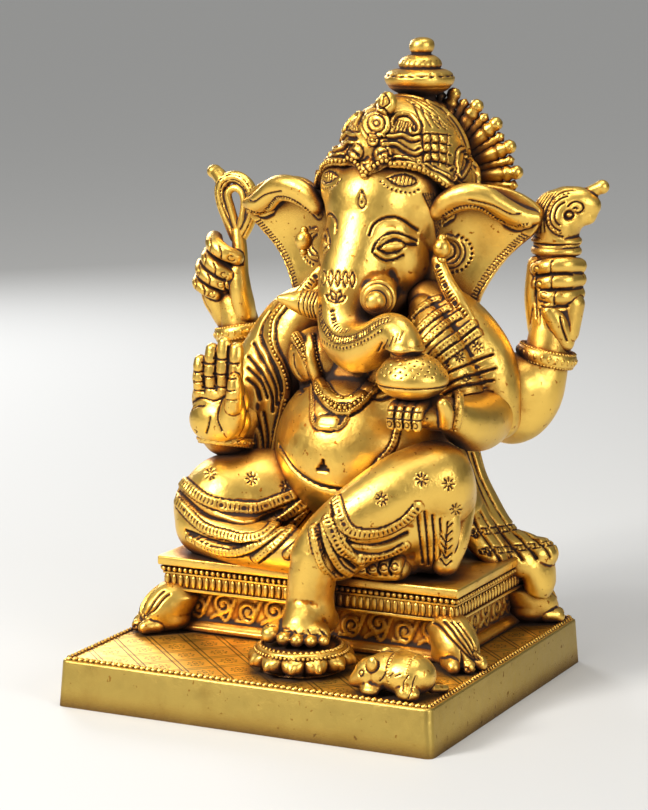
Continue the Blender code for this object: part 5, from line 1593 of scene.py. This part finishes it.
def buildFeet():
    p = footSizes
    planted = skin("footPlanted", [
        limb((13.4, -35, 62, 9.6), (11, -35.2, 52, 9.6), (10, -35, 43, 9.4), (10, -35, 37, 10.4)),
        ball((10, -30, 34.5), (9.6, 9, 6)), limb((10, -38, 38, 9.0), (11, -44, 34.6, 7.6)),
        ball((11.4, -44.6, 33.4), (12, 7.6, 4.8))], p["plantedVoxel"], 3, 1.2,
                   [limb((2.2, -45, 33.6, 3.9), (1.6, -50.6, 33.2, 3.8), (1.8, -53, 32.8, 3.6)),
                    limb((8.2, -47, 33, 3.0), (8.2, -54, 32, 2.9)),
                    limb((13, -47, 32.8, 2.8), (13.6, -53.6, 31.8, 2.7)),
                    limb((17.2, -46, 32.4, 2.7), (18.6, -51.6, 31.6, 2.5)),
                    limb((20.6, -44, 32.2, 2.5), (22.6, -48.6, 31.4, 2.3))])
    nails = [[(x - 1.8, y, 38), (x, y - 1.2, 38), (x + 1.8, y, 38)]
             for x, y in ((1.7, -53), (8.2, -54), (13.6, -53.6), (18.5, -51.6), (22.5, -48.8))]
    creases(planted, nails, 0.38, -0.45, Vector(p["nailDip"]))
    finish(planted, "left_foot", dirt=1.0)
    gap = p["toeGap"]
    tucked = skin("footTucked", [
        limb((20, -16, 56.5, 7.2), (30, -17, 56, 6.6), (39, -17, 55.6, 5.6)),
        limb((23, -22, 54.6, 3.6), (32, -23, 54.2, 3.4), (40, -22, 54, 2.8)),
        *[limb((27 + i * gap, -20 + i * 0.8, 58.6 + i * 0.4, 3.0),
               (28.4 + i * gap, -24.5 + i * 0.9, 58.0 + i * 0.4, 3.0),
               (29.2 + i * gap, -27.2 + i, 55.8 + i * 0.4, 2.6)) for i in range(4)]], p["tuckedVoxel"], 3)
    creases(tucked, [circleLine((29.2 + i * gap, -36, 56.6 + i * 0.4), 1.5, 20, 330, count=10)
                     for i in range(4)], 0.3, -0.5)
    creases(tucked, [inPlane(-36, (31.2 + i * gap, 60), (31.4 + i * gap, 54)) for i in range(3)], 0.42, -0.9)
    finish(tucked, "right_foot", dirt=1.15)
    print("feet done")


shawlSizes = {"voxel": 0.6, "hem": 3.6, "foldHem": 3.0, "hemmedFolds": (0, 1, 6, 8, 9), "bead": 0.85}


def buildShawls():
    p = shawlSizes
    right = skin("shawlRight", [
        limb((-17, 36, 153, 8.5), (-27, 32, 141, 12), (-33, 29, 124, 13), (-35, 23, 106, 11),
             (-33, 15, 90, 8)),
        limb((-24, 40, 146, 11), (-34, 36, 139, 12), (-42, 28, 120, 13), (-44, 20, 104, 11),
             (-42, 14, 92, 8.5))], p["voxel"], 6)
    border = seen(right, 15, (-26, 150), (-31, 143), (-31.5, 133), (-27, 124), (-25.2, 116.5), (-27, 107),
                  (-29.5, 96.5), (-31, 88))
    hem(right, border, p["hem"], 0, 1.2)
    folds = [((-37.4, 137.2), (-33.3, 128.6), (-28.6, 119.1), (-27.4, 112)),
             ((-40.5, 133.4), (-35.3, 124.8), (-30.2, 116.2), (-29.6, 109)),
             ((-43, 127.7), (-37.4, 122), (-32, 112.4), (-31.6, 106)),
             ((-43, 122.9), (-37.4, 118.2), (-34.3, 111.4)), ((-43, 118.2), (-39, 115.3), (-37.4, 110.5)),
             ((-33, 147), (-36.5, 141), (-36.4, 134), (-31, 125), (-28.6, 118)),
             ((-40, 104), (-37, 96), (-36, 88)), ((-36, 105), (-34, 96), (-34, 88))]
    carve(right, 15, folds, 0.75, -1.3)
    trees.pop(right.name)
    beads(*lay(right, border[0], towards=None, curved=False), p["bead"], lift=0.3)
    finish(right, "shawl_right", dirt=1.05)

    left = skin("shawlLeft", [
        limb((28, 34, 153, 8), (40, 33, 143.5, 13.5), (52, 32, 132, 13.2), (58, 32, 120, 11),
             (60, 33, 108, 9)),
        limb((30, 26, 150, 6), (38, 18, 140, 9), (46, 16, 130, 9), (50, 18, 120, 9))], p["voxel"], 5)
    lines = [((38, 128.5), (44, 133.5), (51, 138.5), (59, 144.5)),
             ((38, 132.5), (43, 137.5), (50, 142.5), (57, 148)),
             ((42, 125), (46.5, 127.8), (53.5, 131), (61, 134.5), (66, 136.5)),
             ((44, 121.5), (50, 125), (60.5, 128.7), (67, 131)),
             ((44, 118.5), (51, 122), (60, 124.5), (66, 126)), ((46, 115), (53, 118), (60, 120), (65, 121)),
             ((34, 137), (39, 142), (45, 147), (51, 151)), ((47, 111), (54, 113.5), (61, 115)),
             ((31, 141), (35.5, 146), (41, 150.5), (46, 153.5)),
             ((28, 145.5), (32, 150.5), (37, 154.5), (42, 157))]
    for i, line in enumerate(lines):
        trail = seen(left, 14, *line)
        if i in p["hemmedFolds"]:
            hem(left, trail, p["foldHem"], 1.9, 1.0)
        else:
            press(left, [trail[0]], 0.5, -1.3)
            press(left, [shifted(trail, 1.5)], 0.6, 0.5)
    rosette(left, [(53, 10, 135), (61, 10, 139.5), (46, 10, 131), (56, 10, 126.8)], 2.1)
    finish(left, "shawl_left", dirt=1.05)
    finish(flushBeads("shawlBeads"), dirt=0)


shawlEndSizes = {"voxel": 0.54, "centre": 0.75, "flat": 0.62, "folds": 6, "cuffs": (0, 7), "cuffWidth": 2.4}


def buildShawlEnds():
    p = shawlEndSizes
    for side, name in ((-1, "right"), (1, "left")):
        def at(x, y, z, *radius):
            return (x if side > 0 else 2 * p["centre"] - x, y, z, *radius)
        slant = (side * 0.72, -0.25, 0.62)
        long = limb(at(36, 53, 94, 7), at(40, 52, 80, 7.6), at(45.5, 50, 69, 9), at(52, 48, 58.5, 10.5),
                    at(60, 48, 50.5, 11), at(67, 51, 48, 10.5), at(70, 52, 41, 8.5), at(70, 52, 37, 7),
                    flat=p["flat"], up=slant)
        short = limb(at(37, 43, 88, 6), at(43, 40, 73, 7.4), at(50.5, 36, 60, 9), at(58, 34, 52, 7.6),
                     flat=p["flat"], up=slant)
        end = skin("shawlEnd_" + name, [long, ball(at(69, 54, 49), (8.5, 9, 7)), short], p["voxel"], 5)
        folds = between([at(42, 34, 86), at(52, 30, 66), at(63, 30, 50)],
                        [at(39, 62, 90), at(52, 62, 66), at(68, 62, 46)], p["folds"], 2.0)
        press(end, [lay(end, line, 1.2, Vector((-side * 0.8, 0.5, -0.2)), 40)[0] for line in folds], 0.7, -1.1)
        for drop in p["cuffs"]:
            cuff = [at(61 - drop, 24, 56 + drop), at(66 - drop, 40, 54 + drop), at(66 - drop, 60, 52 + drop)]
            hem(end, lay(end, cuff, 1.0, Vector((-side, 0, -0.2)), 30), p["cuffWidth"], 2.0, 0.0)
        finish(end, "shawl_end_" + name, dirt=1.1)


sashSizes = {"voxel": 0.42, "veins": 9, "veinGap": 3.0}


def buildSash():
    p = sashSizes
    leaf = limb((56.5, -9, 87, 2.6), (57.2, -12, 80, 4.6), (57.8, -13, 71, 5.4), (57.4, -11, 62.5, 2.8),
                (57, -10, 59.5, 1.4), flat=0.55, up=(0.5, -0.85, 0))
    sash = skin("sashLeaf", [leaf, limb((57, 4, 76, 5), (57, -4, 66, 6), (55, -8, 57, 5.5))], p["voxel"], 3)
    drops = [i * p["veinGap"] for i in range(p["veins"])]
    carve(sash, -15, [((56.2, 84 - drop), (58.6, 81.5 - drop), (61, 83.4 - drop)) for drop in drops], 0.4,
          -0.7, 0.6)
    carve(sash, -15, [((58.6, 88), (58.7, 75), (58.2, 62))], 0.45, -0.8, 0.8)
    finish(sash, "sash_end", dirt=1.1)
    print("cloth done")


buildTorso()
buildHead()
buildEar("left", 1)
buildEar("right", -1)
buildTassels()
buildCrown()
buildFinial()
buildFan()
buildArms()
buildHands()
buildSweet()
buildNoose()
buildGoad()
buildBangles()
buildLegs()
buildFeet()
buildShawls()
buildShawlEnds()
buildSash()
